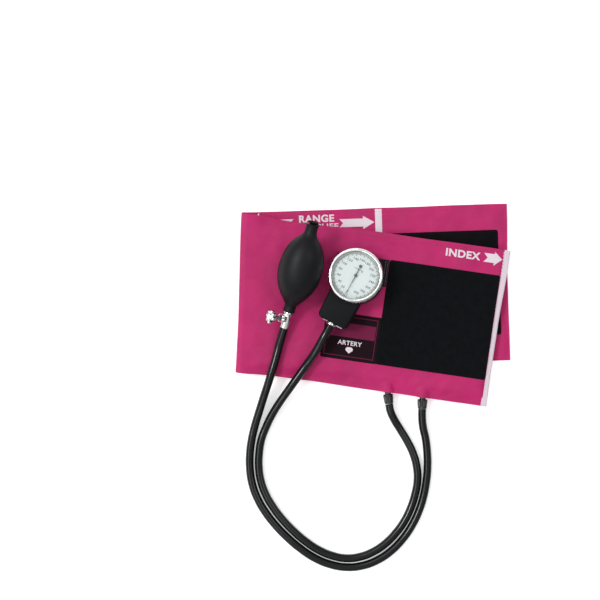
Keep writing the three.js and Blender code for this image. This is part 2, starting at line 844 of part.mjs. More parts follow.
// The stem's frame: +Z out along the knob's axis.
const stemFrame = new THREE.Group();
stemFrame.position.set(0, VALVE.knobY, 0);
stemFrame.rotation.y = -Math.PI / 2;
valve.add(stemFrame);
add(
  "valve_stem",
  turned(
    [
      [0, 1.4],
      [1.5, 4.2],
      [1.5, KNOB.to - 0.7],
      [0, KNOB.to - 0.7],
    ],
    20,
  ),
  steel,
  stemFrame,
);
add(
  "stem_seal",
  new THREE.TorusGeometry(2.05, 0.35, 8, 24).translate(0, 0, VALVE.boss - 0.6),
  blackRubber,
  stemFrame,
);

function knobOutline() {
  const shape = new THREE.Shape();
  const steps = KNOB.lobes * 10;
  for (let i = 0; i < steps; i++) {
    const angle = (i / steps) * 2 * Math.PI;
    const wave = (1 - Math.cos(KNOB.lobes * angle)) / 2;
    const r = KNOB.r - KNOB.notch * (1 - wave ** 0.6);
    const point = [r * Math.cos(angle), r * Math.sin(angle)];
    if (i) shape.lineTo(...point);
    else shape.moveTo(...point);
  }
  return shape;
}
function knob() {
  const bevel = 0.6;
  const lobed = new THREE.ExtrudeGeometry(knobOutline(), {
    depth: KNOB.to - KNOB.from - 1.2 - 2 * bevel,
    bevelSize: bevel,
    bevelOffset: -bevel,
    bevelThickness: bevel,
    bevelSegments: 1,
  }).translate(0, 0, KNOB.from + 1.2 + bevel);
  return geometryOf(
    solid(lobed)
      .add(solid(rod(4.4, KNOB.from, KNOB.from + 2, 28)))
      .subtract(solid(rod(KNOB.bore, KNOB.from - 1, KNOB.to - 0.4, 20))),
  );
}
add("valve_knob", knob(), chrome, stemFrame);

// ---------- hoses ----------
// Each runs from its port, round the loop on the surface below, and back over the cuff.
const BULB_HOSE = [
  [50.02, -99.3, 7.85],
  [50.2, -105, 7.75],
  [51.6, -115, 6.3],
  [55, -127, 4.4],
  [57.2, -140, 3.9],
  [58.2, -153, 3.9],
  [57.8, -166, 3.9],
  [56, -180, 3.9],
  [52.4, -194, 3.9],
  [46.6, -208, 3.9],
  [38.6, -221, 3.9],
  [28.4, -232.6, 3.9],
  [16.2, -241.6, 3.9],
  [2.4, -247.4, 3.9],
  [-12, -249.4, 3.9],
  [-27, -247.6, 3.9],
  [-41.6, -242.4, 3.9],
  [-55.2, -234.4, 3.9],
  [-67.8, -224.8, 3.9],
  [-79.4, -214, 3.9],
  [-89.4, -202.4, 3.9],
  [-97.4, -190, 3.9],
  [-102.8, -177, 3.9],
  [-105.6, -163.6, 3.9],
  [-106.4, -150, 3.9],
  [-105.4, -136, 3.9],
  [-103, -122.6, 4.2],
  [-99.8, -109.4, 6.4],
  [-96.4, -96, 10.4],
  [-93, -83.4, 14.2],
  [-89.8, -71, 15.3],
  [-86.8, -58, 15.0],
  [-84.4, -46, 15.2],
  [-82.5, -38, 16.6],
  [-81.06, -31.72, 18.13],
];
const GAUGE_HOSE = [
  [19.32, -96.36, 7.85],
  [20.6, -102, 7.7],
  [24.6, -110, 6.2],
  [31, -119.4, 4.4],
  [38.2, -130, 3.9],
  [44.2, -141, 3.9],
  [48.2, -153, 3.9],
  [49.6, -166, 3.9],
  [48, -179, 3.9],
  [44.6, -192, 3.9],
  [39.2, -204.6, 3.9],
  [31.8, -216, 3.9],
  [22.8, -226, 3.9],
  [12, -234, 3.9],
  [0.2, -239.2, 3.9],
  [-12, -241.2, 3.9],
  [-25, -239.6, 3.9],
  [-38, -235, 3.9],
  [-50.4, -227.8, 3.9],
  [-62.4, -218.6, 3.9],
  [-73.2, -208.4, 3.9],
  [-82.4, -197.6, 3.9],
  [-89.8, -186.2, 3.9],
  [-94.8, -174.4, 3.9],
  [-97.4, -162, 3.9],
  [-97.9, -149.6, 3.9],
  [-96.6, -136.4, 3.9],
  [-92.8, -124, 4.4],
  [-87.6, -111.6, 6.4],
  [-81, -99.4, 9.8],
  [-73.6, -87.6, 13.2],
  [-66, -75.6, 15.2],
  [-58.4, -63.6, 16.8],
  [-51.2, -51.4, 21.4],
  [-44.7, -38.2, 24.8],
  [-39.34, -27.06, 24.84],
];
add("bulb_hose", tube(BULB_HOSE, HOSE_R, HOSE_SIDES, HOSE_STEPS), blackRubber);
add("gauge_hose", tube(GAUGE_HOSE, HOSE_R, HOSE_SIDES, HOSE_STEPS), blackRubber);

cuffSet.updateMatrixWorld(true);
export default cuffSet;
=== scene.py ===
"""Aneroid blood pressure cuff: fine surfaces, cloth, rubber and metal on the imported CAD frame.

Sizes are millimetres and angles are degrees, as in the CAD model; MM turns sizes into metres.
"""

import math

import bmesh
import bpy
from mathutils import Matrix, Vector, noise
from mathutils.bvhtree import BVHTree


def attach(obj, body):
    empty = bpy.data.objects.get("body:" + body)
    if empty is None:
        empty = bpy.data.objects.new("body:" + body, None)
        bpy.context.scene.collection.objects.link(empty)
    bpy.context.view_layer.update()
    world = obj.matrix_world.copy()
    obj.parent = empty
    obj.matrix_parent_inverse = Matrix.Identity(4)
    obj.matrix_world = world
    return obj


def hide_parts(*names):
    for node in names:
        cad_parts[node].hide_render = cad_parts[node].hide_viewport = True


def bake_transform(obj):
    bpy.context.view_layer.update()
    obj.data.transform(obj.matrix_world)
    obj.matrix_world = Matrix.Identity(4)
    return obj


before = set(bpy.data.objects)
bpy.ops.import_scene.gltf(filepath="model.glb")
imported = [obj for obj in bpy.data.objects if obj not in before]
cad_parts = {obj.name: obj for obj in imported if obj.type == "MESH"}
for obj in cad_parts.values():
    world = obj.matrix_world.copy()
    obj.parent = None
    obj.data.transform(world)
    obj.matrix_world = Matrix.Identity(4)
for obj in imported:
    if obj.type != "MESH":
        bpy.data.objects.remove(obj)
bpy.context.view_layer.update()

MM = 0.001
FRONT, FLAP = "cuff_front", "cuff_flap"
scene = bpy.context.scene
rad = math.radians


def smooth(low, high, x):
    """0 below low, 1 above high, and an S-curve between."""
    t = min(max((x - low) / (high - low), 0.0), 1.0)
    return t * t * (3 - 2 * t)


def linked(name, data):
    """A new object of the scene that shows that data."""
    obj = bpy.data.objects.new(name, data)
    scene.collection.objects.link(obj)
    return obj


# ---------- camera ----------
VIEW_X, VIEW_Y, VIEW_Z = -68.0, -5.2, 10.0
VIEW_WIDTH, VIEW_TURN = 552.0, 3.15
LENS, SENSOR = 85.0, 36.0
camera_data = bpy.data.cameras.new("camera")
camera_data.lens = LENS
camera_data.sensor_width = SENSOR
camera = linked("camera", camera_data)
scene.camera = camera
distance = VIEW_WIDTH * LENS / SENSOR
camera.location = (VIEW_X * MM, VIEW_Y * MM, (VIEW_Z + distance) * MM)
camera.rotation_euler = (0, 0, rad(VIEW_TURN))

# ---------- frames of the parts ----------


def place(x, y, z):
    return Matrix.Translation(Vector((x, y, z)) * MM)


def turn(degrees, axis):
    return Matrix.Rotation(rad(degrees), 4, axis)


FOLD_X, SKEW = -124.0, 5.15
WIDTH, FLAP_LENGTH, FRONT_LENGTH = 145.0, 248.0, 239.3
HALF = WIDTH / 2
SIN, COS = math.sin(rad(SKEW)), math.cos(rad(SKEW))
front_frame = place(FOLD_X, 0, 0) @ turn(-SKEW, "Z")
flap_frame = place(FOLD_X, 0, 0) @ turn(SKEW, "Z")

GAUGE_AT, GAUGE_TILT, GAUGE_LEAN, GAUGE_TURN = (-17.3, 18.2, 17.8), 8.5, 138.0, -25
STEM_HIGH = 4.9
lean = Vector((-math.sin(rad(GAUGE_LEAN)), math.cos(rad(GAUGE_LEAN)), 0))
gauge_frame = place(*GAUGE_AT) @ turn(GAUGE_TILT, lean) @ turn(GAUGE_TURN, "Z")
stem_frame = gauge_frame @ place(0, 0, STEM_HIGH)

BULB_AT, BULB_TURN, BULB_TILT = (-69.2, 22.2, 31.9), -12.4, 14
VALVE_ROLL, KNOB_Y = 35, -47.4
bulb_frame = place(*BULB_AT) @ turn(BULB_TURN, "Z") @ turn(BULB_TILT, "X")
valve_frame = bulb_frame @ turn(VALVE_ROLL, "Y")
knob_frame = valve_frame @ place(0, KNOB_Y, 0) @ turn(-90, "Y")

# Each port: its place along the cuff's near edge, and the angle it leaves at.
PORTS = {"left": (148.5, 15.15), "right": (181, 6.15)}
PORT_Z = 7.85
port_frames = {
    side: front_frame @ place(along, -HALF, PORT_Z) @ turn(degrees, "Z")
    for side, (along, degrees) in PORTS.items()
}

# ---------- materials ----------


class Look:
    """A principled material with helpers for its node tree. Texture sizes are in millimetres."""

    def __init__(self, name, color, roughness, metallic=0.0, gloss=0.5, **sockets):
        self.material = bpy.data.materials.new(name)
        self.material.use_nodes = True
        self.nodes = self.material.node_tree.nodes
        self.links = self.material.node_tree.links
        self.shader = self.nodes["Principled BSDF"]
        self.place = self.nodes.new("ShaderNodeTexCoord").outputs["Object"]
        self.bump = None
        self.set("Base Color", (*color, 1))
        self.set("Roughness", roughness)
        self.set("Metallic", metallic)
        self.set("Specular IOR Level", gloss)
        self.color = color
        for socket, value in sockets.items():
            self.set(socket.replace("_", " "), value)

    def set(self, socket, value):
        self.shader.inputs[socket].default_value = value

    def math(self, operation, a, b=0.0):
        node = self.nodes.new("ShaderNodeMath")
        node.operation = operation
        for i, value in enumerate((a, b)):
            if isinstance(value, (int, float)):
                node.inputs[i].default_value = value
            else:
                self.links.new(value, node.inputs[i])
        return node.outputs[0]

    def turned(self, degrees, scale=(1, 1, 1)):
        """The piece's own coordinates, turned about Z and scaled."""
        mapping = self.nodes.new("ShaderNodeMapping")
        mapping.inputs["Rotation"].default_value = (0, 0, rad(degrees))
        mapping.inputs["Scale"].default_value = scale
        self.links.new(self.place, mapping.inputs["Vector"])
        return mapping.outputs[0]

    def noise(self, size, detail=3.0, stretch=(1, 1, 1), degrees=0.0):
        """A soft noise from 0 to 1, in lumps of that size."""
        node = self.nodes.new("ShaderNodeTexNoise")
        node.inputs["Scale"].default_value = 1.0
        node.inputs["Detail"].default_value = detail
        scale = [1000.0 / size / s for s in stretch]
        self.links.new(self.turned(degrees, scale), node.inputs["Vector"])
        return node.outputs["Fac"]

    def ridges(self, size, stretch, degrees):
        """Sharp lines where a slow noise crosses its middle, like the set creases of packed cloth."""
        slow = self.noise(size, 1.0, stretch, degrees)
        return self.math("ABSOLUTE", self.math("SUBTRACT", slow, 0.5))

    def stripes(self, pitch, degrees, direction="X"):
        """A sine wave of that pitch across the plan, turned by an angle."""
        split = self.nodes.new("ShaderNodeSeparateXYZ")
        self.links.new(self.turned(degrees), split.inputs[0])
        phase = self.math("MULTIPLY", split.outputs[direction], 2000.0 * math.pi / pitch)
        return self.math("SINE", phase)

    def weave(self, pitch, degrees):
        """Threads crossing over and under: the product of two waves, from -1 to 1."""
        across = self.stripes(pitch, degrees)
        along = self.stripes(pitch, degrees, "Y")
        return self.math("MULTIPLY", across, along)

    def vary(self, socket, factor, low, high):
        """Drives a socket between two values, or two colours, by a factor from 0 to 1."""
        if socket == "Base Color":
            node = self.nodes.new("ShaderNodeMix")
            node.data_type = "RGBA"
            factor_in, low_in, high_in = node.inputs[0], node.inputs[6], node.inputs[7]
            low_in.default_value = (*low, 1)
            high_in.default_value = (*high, 1)
            result = node.outputs[2]
        else:
            node = self.nodes.new("ShaderNodeMapRange")
            factor_in, result = node.inputs["Value"], node.outputs[0]
            node.inputs["To Min"].default_value = low
            node.inputs["To Max"].default_value = high
        self.links.new(factor, factor_in)
        self.links.new(result, self.shader.inputs[socket])

    def mottle(self, size, spread, detail=3.0):
        """Colour that drifts darker and lighter over that many millimetres."""
        low = [c * (1 - spread) for c in self.color]
        high = [min(1.0, c * (1 + spread)) for c in self.color]
        self.vary("Base Color", self.noise(size, detail), low, high)

    def raise_by(self, height, depth):
        """Adds a bump of that depth in millimetres."""
        node = self.nodes.new("ShaderNodeBump")
        node.inputs["Distance"].default_value = depth * MM
        self.links.new(height, node.inputs["Height"])
        if self.bump is not None:
            self.links.new(self.bump, node.inputs["Normal"])
        self.bump = node.outputs[0]
        self.links.new(self.bump, self.shader.inputs["Normal"])


def srgb(r, g, b):
    """A colour given as screen values from 0 to 255, as linear light."""
    return tuple(
        c / 12.92 / 255 if c <= 10.31 else ((c / 255 + 0.055) / 1.055) ** 2.4 for c in (r, g, b)
    )


def nylon_look(name, degrees):
    """Satin nylon: set creases, soft wrinkles and a fine weave."""
    look = Look(name, srgb(176, 24, 95), 0.55, gloss=0.24, Sheen_Weight=0.05, Sheen_Roughness=0.35)
    look.set("Sheen Tint", (*srgb(255, 170, 205), 1))
    look.mottle(30, 0.3, 5)
    look.vary("Roughness", look.noise(14), 0.42, 0.66)
    look.raise_by(look.noise(16, 2, (2.4, 1, 1)), 1.2)
    look.raise_by(look.noise(7, 4), 0.25)
    look.raise_by(look.ridges(26, (2.4, 1, 1), 35), 1.7)
    look.raise_by(look.ridges(19, (1.8, 1, 1), -40), 1.0)
    look.raise_by(look.weave(0.55, degrees), 0.035)
    return look


def woven_look(name, color, roughness, drift, pitch, depth, gloss=0.5, sheen=0.0, degrees=-SKEW):
    """Woven tape or print. drift is the size and the strength of its changes of colour."""
    look = Look(name, color, roughness, gloss=gloss, Sheen_Weight=sheen)
    look.mottle(*drift)
    look.raise_by(look.weave(pitch, degrees), depth)
    return look


def pile_look(name, color, size, depth, degrees):
    """Black loops or hooks: very dull, with faint rows."""
    look = Look(name, color, 0.95, gloss=0.05, Sheen_Weight=0.01, Sheen_Roughness=0.6)
    look.mottle(6, 0.5, 6)
    look.raise_by(look.noise(size, 4), depth)
    look.raise_by(look.stripes(1.6, degrees), depth * 0.35)
    return look


def thread_look(name, color, spread, roughness=0.6, gloss=0.5):
    """Sewing thread with a slanting twist."""
    look = Look(name, color, roughness, gloss=gloss)
    look.mottle(1, spread)
    look.raise_by(look.stripes(0.25, 40), 0.03)
    return look


def rubber_look(name, color, roughness, gloss=0.3):
    look = Look(name, color, roughness, gloss=gloss)
    look.mottle(12, 0.12)
    look.vary("Roughness", look.noise(5), roughness - 0.07, roughness + 0.08)
    look.raise_by(look.noise(1.1, 4), 0.02)
    return look


def metal_look(name, color, roughness, grain=None):
    """Metal, brushed along one axis if a grain is given."""
    look = Look(name, color, roughness, 1.0)
    look.mottle(7, 0.05)
    look.vary("Roughness", look.noise(3, 4), roughness * 0.7, roughness * 1.5)
    if grain:
        look.raise_by(look.noise(0.5, 2, grain), 0.006)
    return look


def paint_look(name, color, roughness, size, spread):
    look = Look(name, color, roughness)
    look.mottle(size, spread)
    return look


def enamel_look():
    """Black paint of the gauge case, with a thin clear coat."""
    look = Look("black_enamel", srgb(12, 12, 14), 0.35, Coat_Weight=0.1)
    look.mottle(9, 0.15)
    look.vary("Roughness", look.noise(4), 0.34, 0.5)
    look.raise_by(look.noise(0.6, 3), 0.01)
    return look


nylon = nylon_look("nylon_weave", -SKEW)
nylon_inside = nylon_look("nylon_weave_inside", SKEW)
print_white = woven_look("white_print", srgb(214, 201, 210), 0.6, (4, 0.03), 0.55, 0.02)
tape_white = woven_look("white_tape", srgb(208, 194, 204), 0.75, (8, 0.05), 0.7, 0.05, sheen=0.1)
label_cloth = woven_look("label_cloth", srgb(26, 11, 18), 0.85, (5, 0.15), 0.5, 0.04, 0.1)
label_pink = woven_look("label_pink", srgb(108, 24, 62), 0.8, (4, 0.1), 0.5, 0.04, 0.15)
webbing = woven_look("webbing", srgb(20, 20, 24), 0.7, (3, 0.3), 1.5, 0.15, 0.2, 0.03, 45 - SKEW)
loop_pile = pile_look("loop_pile", srgb(13, 15, 18), 0.5, 0.25, -SKEW)
hook_pile = pile_look("hook_pile", srgb(14, 12, 15), 0.35, 0.2, SKEW)
thread_pink = thread_look("thread_pink", srgb(172, 32, 96), 0.1)
thread_black = thread_look("thread_black", srgb(17, 17, 20), 0.2, 0.7, 0.1)
thread_white = thread_look("thread_white", srgb(232, 222, 230), 0.05)
thread_grey = thread_look("thread_grey", srgb(120, 120, 126), 0.15)
hose_rubber = rubber_look("hose_rubber", srgb(8, 10, 12), 0.16)
bulb_rubber = rubber_look("bulb_rubber", srgb(15, 16, 19), 0.48, 0.17)
sleeve_rubber = rubber_look("sleeve_rubber", srgb(17, 17, 20), 0.2, 0.55)
bladder_rubber = rubber_look("bladder_rubber", srgb(70, 64, 60), 0.7)
neck_rubber = rubber_look("neck_cover", srgb(11, 12, 15), 0.5, 0.08)
inlet_rubber = rubber_look("inlet_rubber", srgb(12, 13, 15), 0.85, 0.05)
chrome = metal_look("chrome", srgb(222, 224, 222), 0.09)
steel = metal_look("steel", srgb(150, 152, 156), 0.3, (1, 8, 1))
brass = metal_look("brass", srgb(196, 160, 92), 0.3, (6, 1, 1))
enamel = enamel_look()
dial_paint = paint_look("dial_paint", srgb(224, 230, 230), 0.45, 10, 0.02)
dial_paint.raise_by(dial_paint.noise(0.8), 0.004)
dial_ink = paint_look("dial_ink", srgb(24, 26, 28), 0.55, 2, 0.1)
needle_paint = paint_look("needle_paint", srgb(18, 18, 20), 0.35, 3, 0.1)


def lens_look():
    """Clear glass seen face on: mostly let through, a little mirrored."""
    look = Look("lens_glass", (1, 1, 1), 0.02)
    clear = look.nodes.new("ShaderNodeBsdfTransparent")
    clear.inputs["Color"].default_value = (0.97, 0.985, 0.98, 1)
    glossy = look.nodes.new("ShaderNodeBsdfGlossy")
    smear = look.nodes.new("ShaderNodeMapRange")
    smear.inputs["To Min"].default_value = 0.02
    smear.inputs["To Max"].default_value = 0.09
    look.links.new(look.noise(9, 4), smear.inputs["Value"])
    look.links.new(smear.outputs[0], glossy.inputs["Roughness"])
    mix = look.nodes.new("ShaderNodeMixShader")
    mix.inputs["Fac"].default_value = 0.07
    look.links.new(clear.outputs[0], mix.inputs[1])
    look.links.new(glossy.outputs[0], mix.inputs[2])
    look.links.new(mix.outputs[0], look.nodes["Material Output"].inputs["Surface"])
    return look


lens_glass = lens_look()

# ---------- mesh helpers ----------


def finish_piece(obj, look, body, replaces=(), shade=True):
    """Gives a piece its material and its body, and hides the CAD nodes that it stands for."""
    obj.data.materials.clear()
    obj.data.materials.append(look.material)
    if shade:
        obj.data.shade_smooth()
        obj.data.set_sharp_from_angle(angle=rad(38))
    if body:
        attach(obj, body)
    if replaces:
        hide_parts(*replaces)


def mesh_object(name, verts, faces, matrix=None):
    """A mesh from millimetre points, put through a matrix, linked to the scene."""
    mesh = bpy.data.meshes.new(name)
    mesh.from_pydata([Vector(v) * MM for v in verts], [], faces)
    if matrix is not None:
        mesh.transform(matrix)
    mesh.update()
    return linked(name, mesh)


def baked(obj):
    """Applies the object's modifiers to its mesh."""
    bpy.context.view_layer.update()
    graph = bpy.context.evaluated_depsgraph_get()
    mesh = bpy.data.meshes.new_from_object(obj.evaluated_get(graph))
    obj.modifiers.clear()
    obj.data = mesh
    return obj


def bevelled(obj, width, segments, angle):
    """Rounds the edges that are sharper than the angle."""
    modifier = obj.modifiers.new("bevel", "BEVEL")
    modifier.width = width * MM
    modifier.segments = segments
    modifier.limit_method = "ANGLE"
    modifier.angle_limit = rad(angle)
    baked(obj)


def thickened(obj, thick, offset):
    """Gives an open sheet a thickness: to both sides with offset 0, and downwards with -1."""
    modifier = obj.modifiers.new("thickness", "SOLIDIFY")
    modifier.thickness = thick * MM
    modifier.offset = offset
    return baked(obj)


def outward(obj):
    """Makes every face of a closed mesh point out."""
    grid = bmesh.new()
    grid.from_mesh(obj.data)
    bmesh.ops.remove_doubles(grid, verts=grid.verts, dist=1e-7)
    bmesh.ops.recalc_face_normals(grid, faces=grid.faces)
    grid.to_mesh(obj.data)
    grid.free()
    return obj


def eased(points, steps=6):
    """A smooth curve through points (Catmull-Rom), keeping both ends."""
    points = [Vector(p) for p in points]
    out = []
    for i in range(len(points) - 1):
        p0 = points[max(i - 1, 0)]
        p1, p2 = points[i], points[i + 1]
        p3 = points[min(i + 2, len(points) - 1)]
        for k in range(steps):
            t = k / steps
            bend = (2 * p0 - 5 * p1 + 4 * p2 - p3) * t * t
            twist = (3 * p1 - p0 - 3 * p2 + p3) * t**3
            out.append(0.5 * (2 * p1 + (p2 - p0) * t + bend + twist))
    out.append(points[-1])
    return out


def lathe(name, profile, matrix, axis="Z", sides=96, shape=None):
    """A turned piece from a closed outline of (radius, height) points about the axis.

    shape(angle, radius, height) may move each point.
    """
    verts, faces = [], []
    count = len(profile)
    for i in range(sides):
        angle = 2 * math.pi * i / sides
        for r, h in profile:
            if shape:
                r, h = shape(angle, r, h)
            x, y = r * math.cos(angle), r * math.sin(angle)
            verts.append((x, y, h) if axis == "Z" else (y, h, x))
    for i in range(sides):
        j = (i + 1) % sides
        for k in range(count):
            m = (k + 1) % count
            faces.append((i * count + k, j * count + k, j * count + m, i * count + m))
    return outward(mesh_object(name, verts, faces, matrix))


def prism(name, outline, low, high, matrix):
    """A flat outline given a thickness."""
    count = len(outline)
    verts = [(x, y, low) for x, y in outline] + [(x, y, high) for x, y in outline]
    faces = [tuple(range(count))[::-1], tuple(range(count, 2 * count))]
    faces += [(i, (i + 1) % count, (i + 1) % count + count, i + count) for i in range(count)]
    return outward(mesh_object(name, verts, faces, matrix))


def grid_faces(width, total):
    """Faces of a grid of points that are given row by row."""
    starts = [k for k in range(total - width) if (k + 1) % width]
    return [(k, k + 1, k + width + 1, k + width) for k in starts]


def closed_skin(name, top, low, width):
    """A closed piece from two grids of points that meet at their rims."""
    faces = []
    for quad in grid_faces(width, len(top)):
        faces.append(quad)
        faces.append(tuple(v + len(top) for v in quad[::-1]))
    return outward(mesh_object(name, top + low, faces))


def tube_faces(base, rings, sides):
    """Faces of a capped tube of rings of points, numbered from base."""
    faces = []
    last = base + (rings - 1) * sides
    for row in range(base, last, sides):
        for k in range(sides):
            m = (k + 1) % sides
            faces.append((row + k, row + m, row + sides + m, row + sides + k))
    faces.append(tuple(range(base, base + sides))[::-1])
    faces.append(tuple(range(last, last + sides)))
    return faces


# ---------- hoses ----------
BULB_HOSE = [
    (50.02, -99.3, 7.85), (50.2, -105, 7.75), (51.6, -115, 6.3), (55, -127, 4.4),
    (57.2, -140, 3.9), (58.2, -153, 3.9), (57.8, -166, 3.9), (56, -180, 3.9), (52.4, -194, 3.9),
    (46.6, -208, 3.9), (38.6, -221, 3.9), (28.4, -232.6, 3.9), (16.2, -241.6, 3.9),
    (2.4, -247.4, 3.9), (-12, -249.4, 3.9), (-27, -247.6, 3.9), (-41.6, -242.4, 3.9),
    (-55.2, -234.4, 3.9), (-67.8, -224.8, 3.9), (-79.4, -214, 3.9), (-89.4, -202.4, 3.9),
    (-97.4, -190, 3.9), (-102.8, -177, 3.9), (-105.6, -163.6, 3.9), (-106.4, -150, 3.9),
    (-105.4, -136, 3.9), (-103, -122.6, 4.2), (-99.8, -109.4, 6.4), (-96.4, -96, 10.4),
    (-93, -83.4, 14.2), (-89.8, -71, 15.3), (-86.8, -58, 15.0), (-84.4, -46, 15.2),
    (-82.5, -38, 16.6), (-81.06, -31.72, 18.13),
]
GAUGE_HOSE = [
    (19.32, -96.36, 7.85), (20.6, -102, 7.7), (24.6, -110, 6.2), (31, -119.4, 4.4),
    (38.2, -130, 3.9), (44.2, -141, 3.9), (48.2, -153, 3.9), (49.6, -166, 3.9), (48, -179, 3.9),
    (44.6, -192, 3.9), (39.2, -204.6, 3.9), (31.8, -216, 3.9), (22.8, -226, 3.9), (12, -234, 3.9),
    (0.2, -239.2, 3.9), (-12, -241.2, 3.9), (-25, -239.6, 3.9), (-38, -235, 3.9),
    (-50.4, -227.8, 3.9), (-62.4, -218.6, 3.9), (-73.2, -208.4, 3.9), (-82.4, -197.6, 3.9),
    (-89.8, -186.2, 3.9), (-94.8, -174.4, 3.9), (-97.4, -162, 3.9), (-97.9, -149.6, 3.9),
    (-96.6, -136.4, 3.9), (-92.8, -124, 4.4), (-87.6, -111.6, 6.4), (-81, -99.4, 9.8),
    (-73.6, -87.6, 13.2), (-66, -75.6, 15.2), (-58.4, -63.6, 16.8), (-51.2, -51.4, 21.4),
    (-44.7, -38.2, 24.8), (-39.34, -27.06, 24.84),
]
HOSE_DIAMETER = 7.5


def hose(name, points, node):
    """A hose along its route: a bevelled curve on the front, in place of its CAD node."""
    data = bpy.data.curves.new(name, "CURVE")
    data.dimensions = "3D"
    data.bevel_depth = HOSE_DIAMETER / 2 * MM
    data.bevel_resolution = 8
    data.resolution_u = 8
    data.use_fill_caps = True
    spline = data.splines.new("BEZIER")
    spline.bezier_points.add(len(points) - 1)
    for knot, p in zip(spline.bezier_points, points):
        knot.co = Vector(p) * MM
        knot.handle_left_type = knot.handle_right_type = "AUTO"
    obj = linked(name, data)
    data.materials.append(hose_rubber.material)
    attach(obj, FRONT)
    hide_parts(node)


hose("hose_to_bulb", BULB_HOSE, "bulb_hose")
hose("hose_to_gauge", GAUGE_HOSE, "gauge_hose")

# ---------- floor and light ----------
FLOOR_HALF, FLOOR_Z, FLOOR_GREY = 20000.0, -0.06, 0.93


def floor():
    """White paper under everything, a little self-lit so that it stays white."""
    signs = [(-1, -1), (1, -1), (1, 1), (-1, 1)]
    corners = [(x * FLOOR_HALF, y * FLOOR_HALF, FLOOR_Z) for x, y in signs]
    obj = mesh_object("floor", corners, [(0, 1, 2, 3)])
    look = Look("floor_paper", (FLOOR_GREY, FLOOR_GREY, FLOOR_GREY), 0.9, gloss=0.1)
    look.set("Emission Color", (1, 1, 1, 1))
    look.set("Emission Strength", 0.4)
    obj.data.materials.append(look.material)


def lamp(name, strength, spread, azimuth, elevation, shine_only=False):
    """A far lamp with a wide disc. A shine-only one adds reflections and no diffuse light."""
    data = bpy.data.lights.new(name, "SUN")
    data.energy = strength
    data.angle = rad(spread)
    obj = linked(name, data)
    obj.rotation_euler = (rad(90 - elevation), 0, rad(azimuth + 90))
    obj.visible_diffuse = not shine_only


def sky(strength):
    """Soft studio surroundings: bright high up, dark overhead and low down, and brighter on the left."""
    world = bpy.data.worlds.new("studio")
    scene.world = world
    world.use_nodes = True
    nodes, links = world.node_tree.nodes, world.node_tree.links
    direction = nodes.new("ShaderNodeTexCoord").outputs["Generated"]
    split = nodes.new("ShaderNodeSeparateXYZ")
    ramp = nodes.new("ShaderNodeValToRGB")
    links.new(direction, split.inputs[0])
    links.new(split.outputs["Z"], ramp.inputs[0])
    side = nodes.new("ShaderNodeMapRange")
    links.new(split.outputs["X"], side.inputs["Value"])
    for socket, value in zip(("From Min", "From Max", "To Min", "To Max"), (-0.8, 0.8, 1.45, 0.5)):
        side.inputs[socket].default_value = value
    scaled = nodes.new("ShaderNodeVectorMath")
    scaled.operation = "SCALE"
    links.new(ramp.outputs[0], scaled.inputs[0])
    links.new(side.outputs[0], scaled.inputs["Scale"])
    links.new(scaled.outputs[0], nodes["Background"].inputs["Color"])
    nodes["Background"].inputs["Strength"].default_value = strength
    stops = ramp.color_ramp.elements
    for stop, (height, grey) in zip(
        [stops[0], stops[1], stops.new(0.3), stops.new(0.58), stops.new(0.9)],
        [(0.0, 0.45), (0.975, 0.3), (0.3, 0.12), (0.58, 1.25), (0.9, 1.25)],
    ):
        stop.position = height
        stop.color = (grey, grey, grey, 1)


floor()
sky(0.78)
lamp("key", 1.15, 14, 166, 54)
lamp("fill", 0.45, 26, 20, 52)
# A bow of small lamps that only shine: together they draw the thin light line along the hoses.
SHINE_FROM, SHINE_TO, SHINE_STEP = 112, 232, 15
for azimuth in range(SHINE_FROM, SHINE_TO + 1, SHINE_STEP):
    lamp(f"shine_{azimuth}", 0.14, 10, azimuth, 51, True)
scene.view_settings.view_transform = "Standard"

# ---------- the cuff's two sheets of nylon ----------
# Each sheet runs from the index end, along the front, round the fold and back along the flap.
CLOTH = 0.7
OUTER = {"x": -118.5, "z": 5.35, "r": 5.0, "extra": 2.35, "taper": -2.05}
INNER = {"x": -118.8, "z": 3.45, "r": 1.95, "extra": -2.14, "taper": 2.1}
FOLD_ZONE, FOLD_STEP, EVEN_STEP = 12.0, 0.6, 1.6
SHEET_ROWS, SHEET_CORNER = 98, 3.0
FOLD_BULGE, END_BOW, CORNER_DROOP, TOP_SAG = 2.6, 1.8, 2.2, 2.2
PORT_INVERSES = [matrix.inverted() for matrix in port_frames.values()]


def ripple(a, size, seed):
    """A slow wave from -1 to 1 along one line."""
    return noise.noise(Vector((a / size, 0, seed)))


def crease(a, b, size, seed, angle):
    """A field of long soft folds that run at that angle."""
    u = a * math.cos(rad(angle)) + b * math.sin(rad(angle))
    v = b * math.cos(rad(angle)) - a * math.sin(rad(angle))
    return noise.noise(Vector((u / (2.6 * size), v / size, seed)))


def front_relief(a, b):
    """Wrinkles of the front, in millimetres. They fade where the gauge and the fold hold it."""
    held = smooth(2, 16, a) * smooth(24, 52, math.hypot(a - 104, b - 14))
    in_patch = smooth(127, 136, a) * smooth(52, 46, abs(b)) if abs(b) < 52 else 0.0
    loose = held * (1 - 0.65 * in_patch)
    edge = smooth(40, 68, abs(b))
    w = 0.55 * crease(a, b, 26, 1.7, 24) + 0.35 * crease(a, b, 13, 5.2, -38)
    w += (0.22 + 0.25 * edge) * crease(a, b, 8, 9.4, 68)
    return max(-0.85, min(0.34, 1.35 * w * loose - 0.1))


def flap_relief(a, b):
    """Wrinkles of the flap, all upwards, because it lies on a surface."""
    w = 0.5 * crease(a, b, 28, 12.3, -30) + 0.32 * crease(a, b, 13, 17.1, 42)
    w += 0.2 * crease(a, b, 8, 21.9, 80)
    return smooth(6, 30, a) * max(0.0, min(0.8, 0.35 + 1.2 * w))


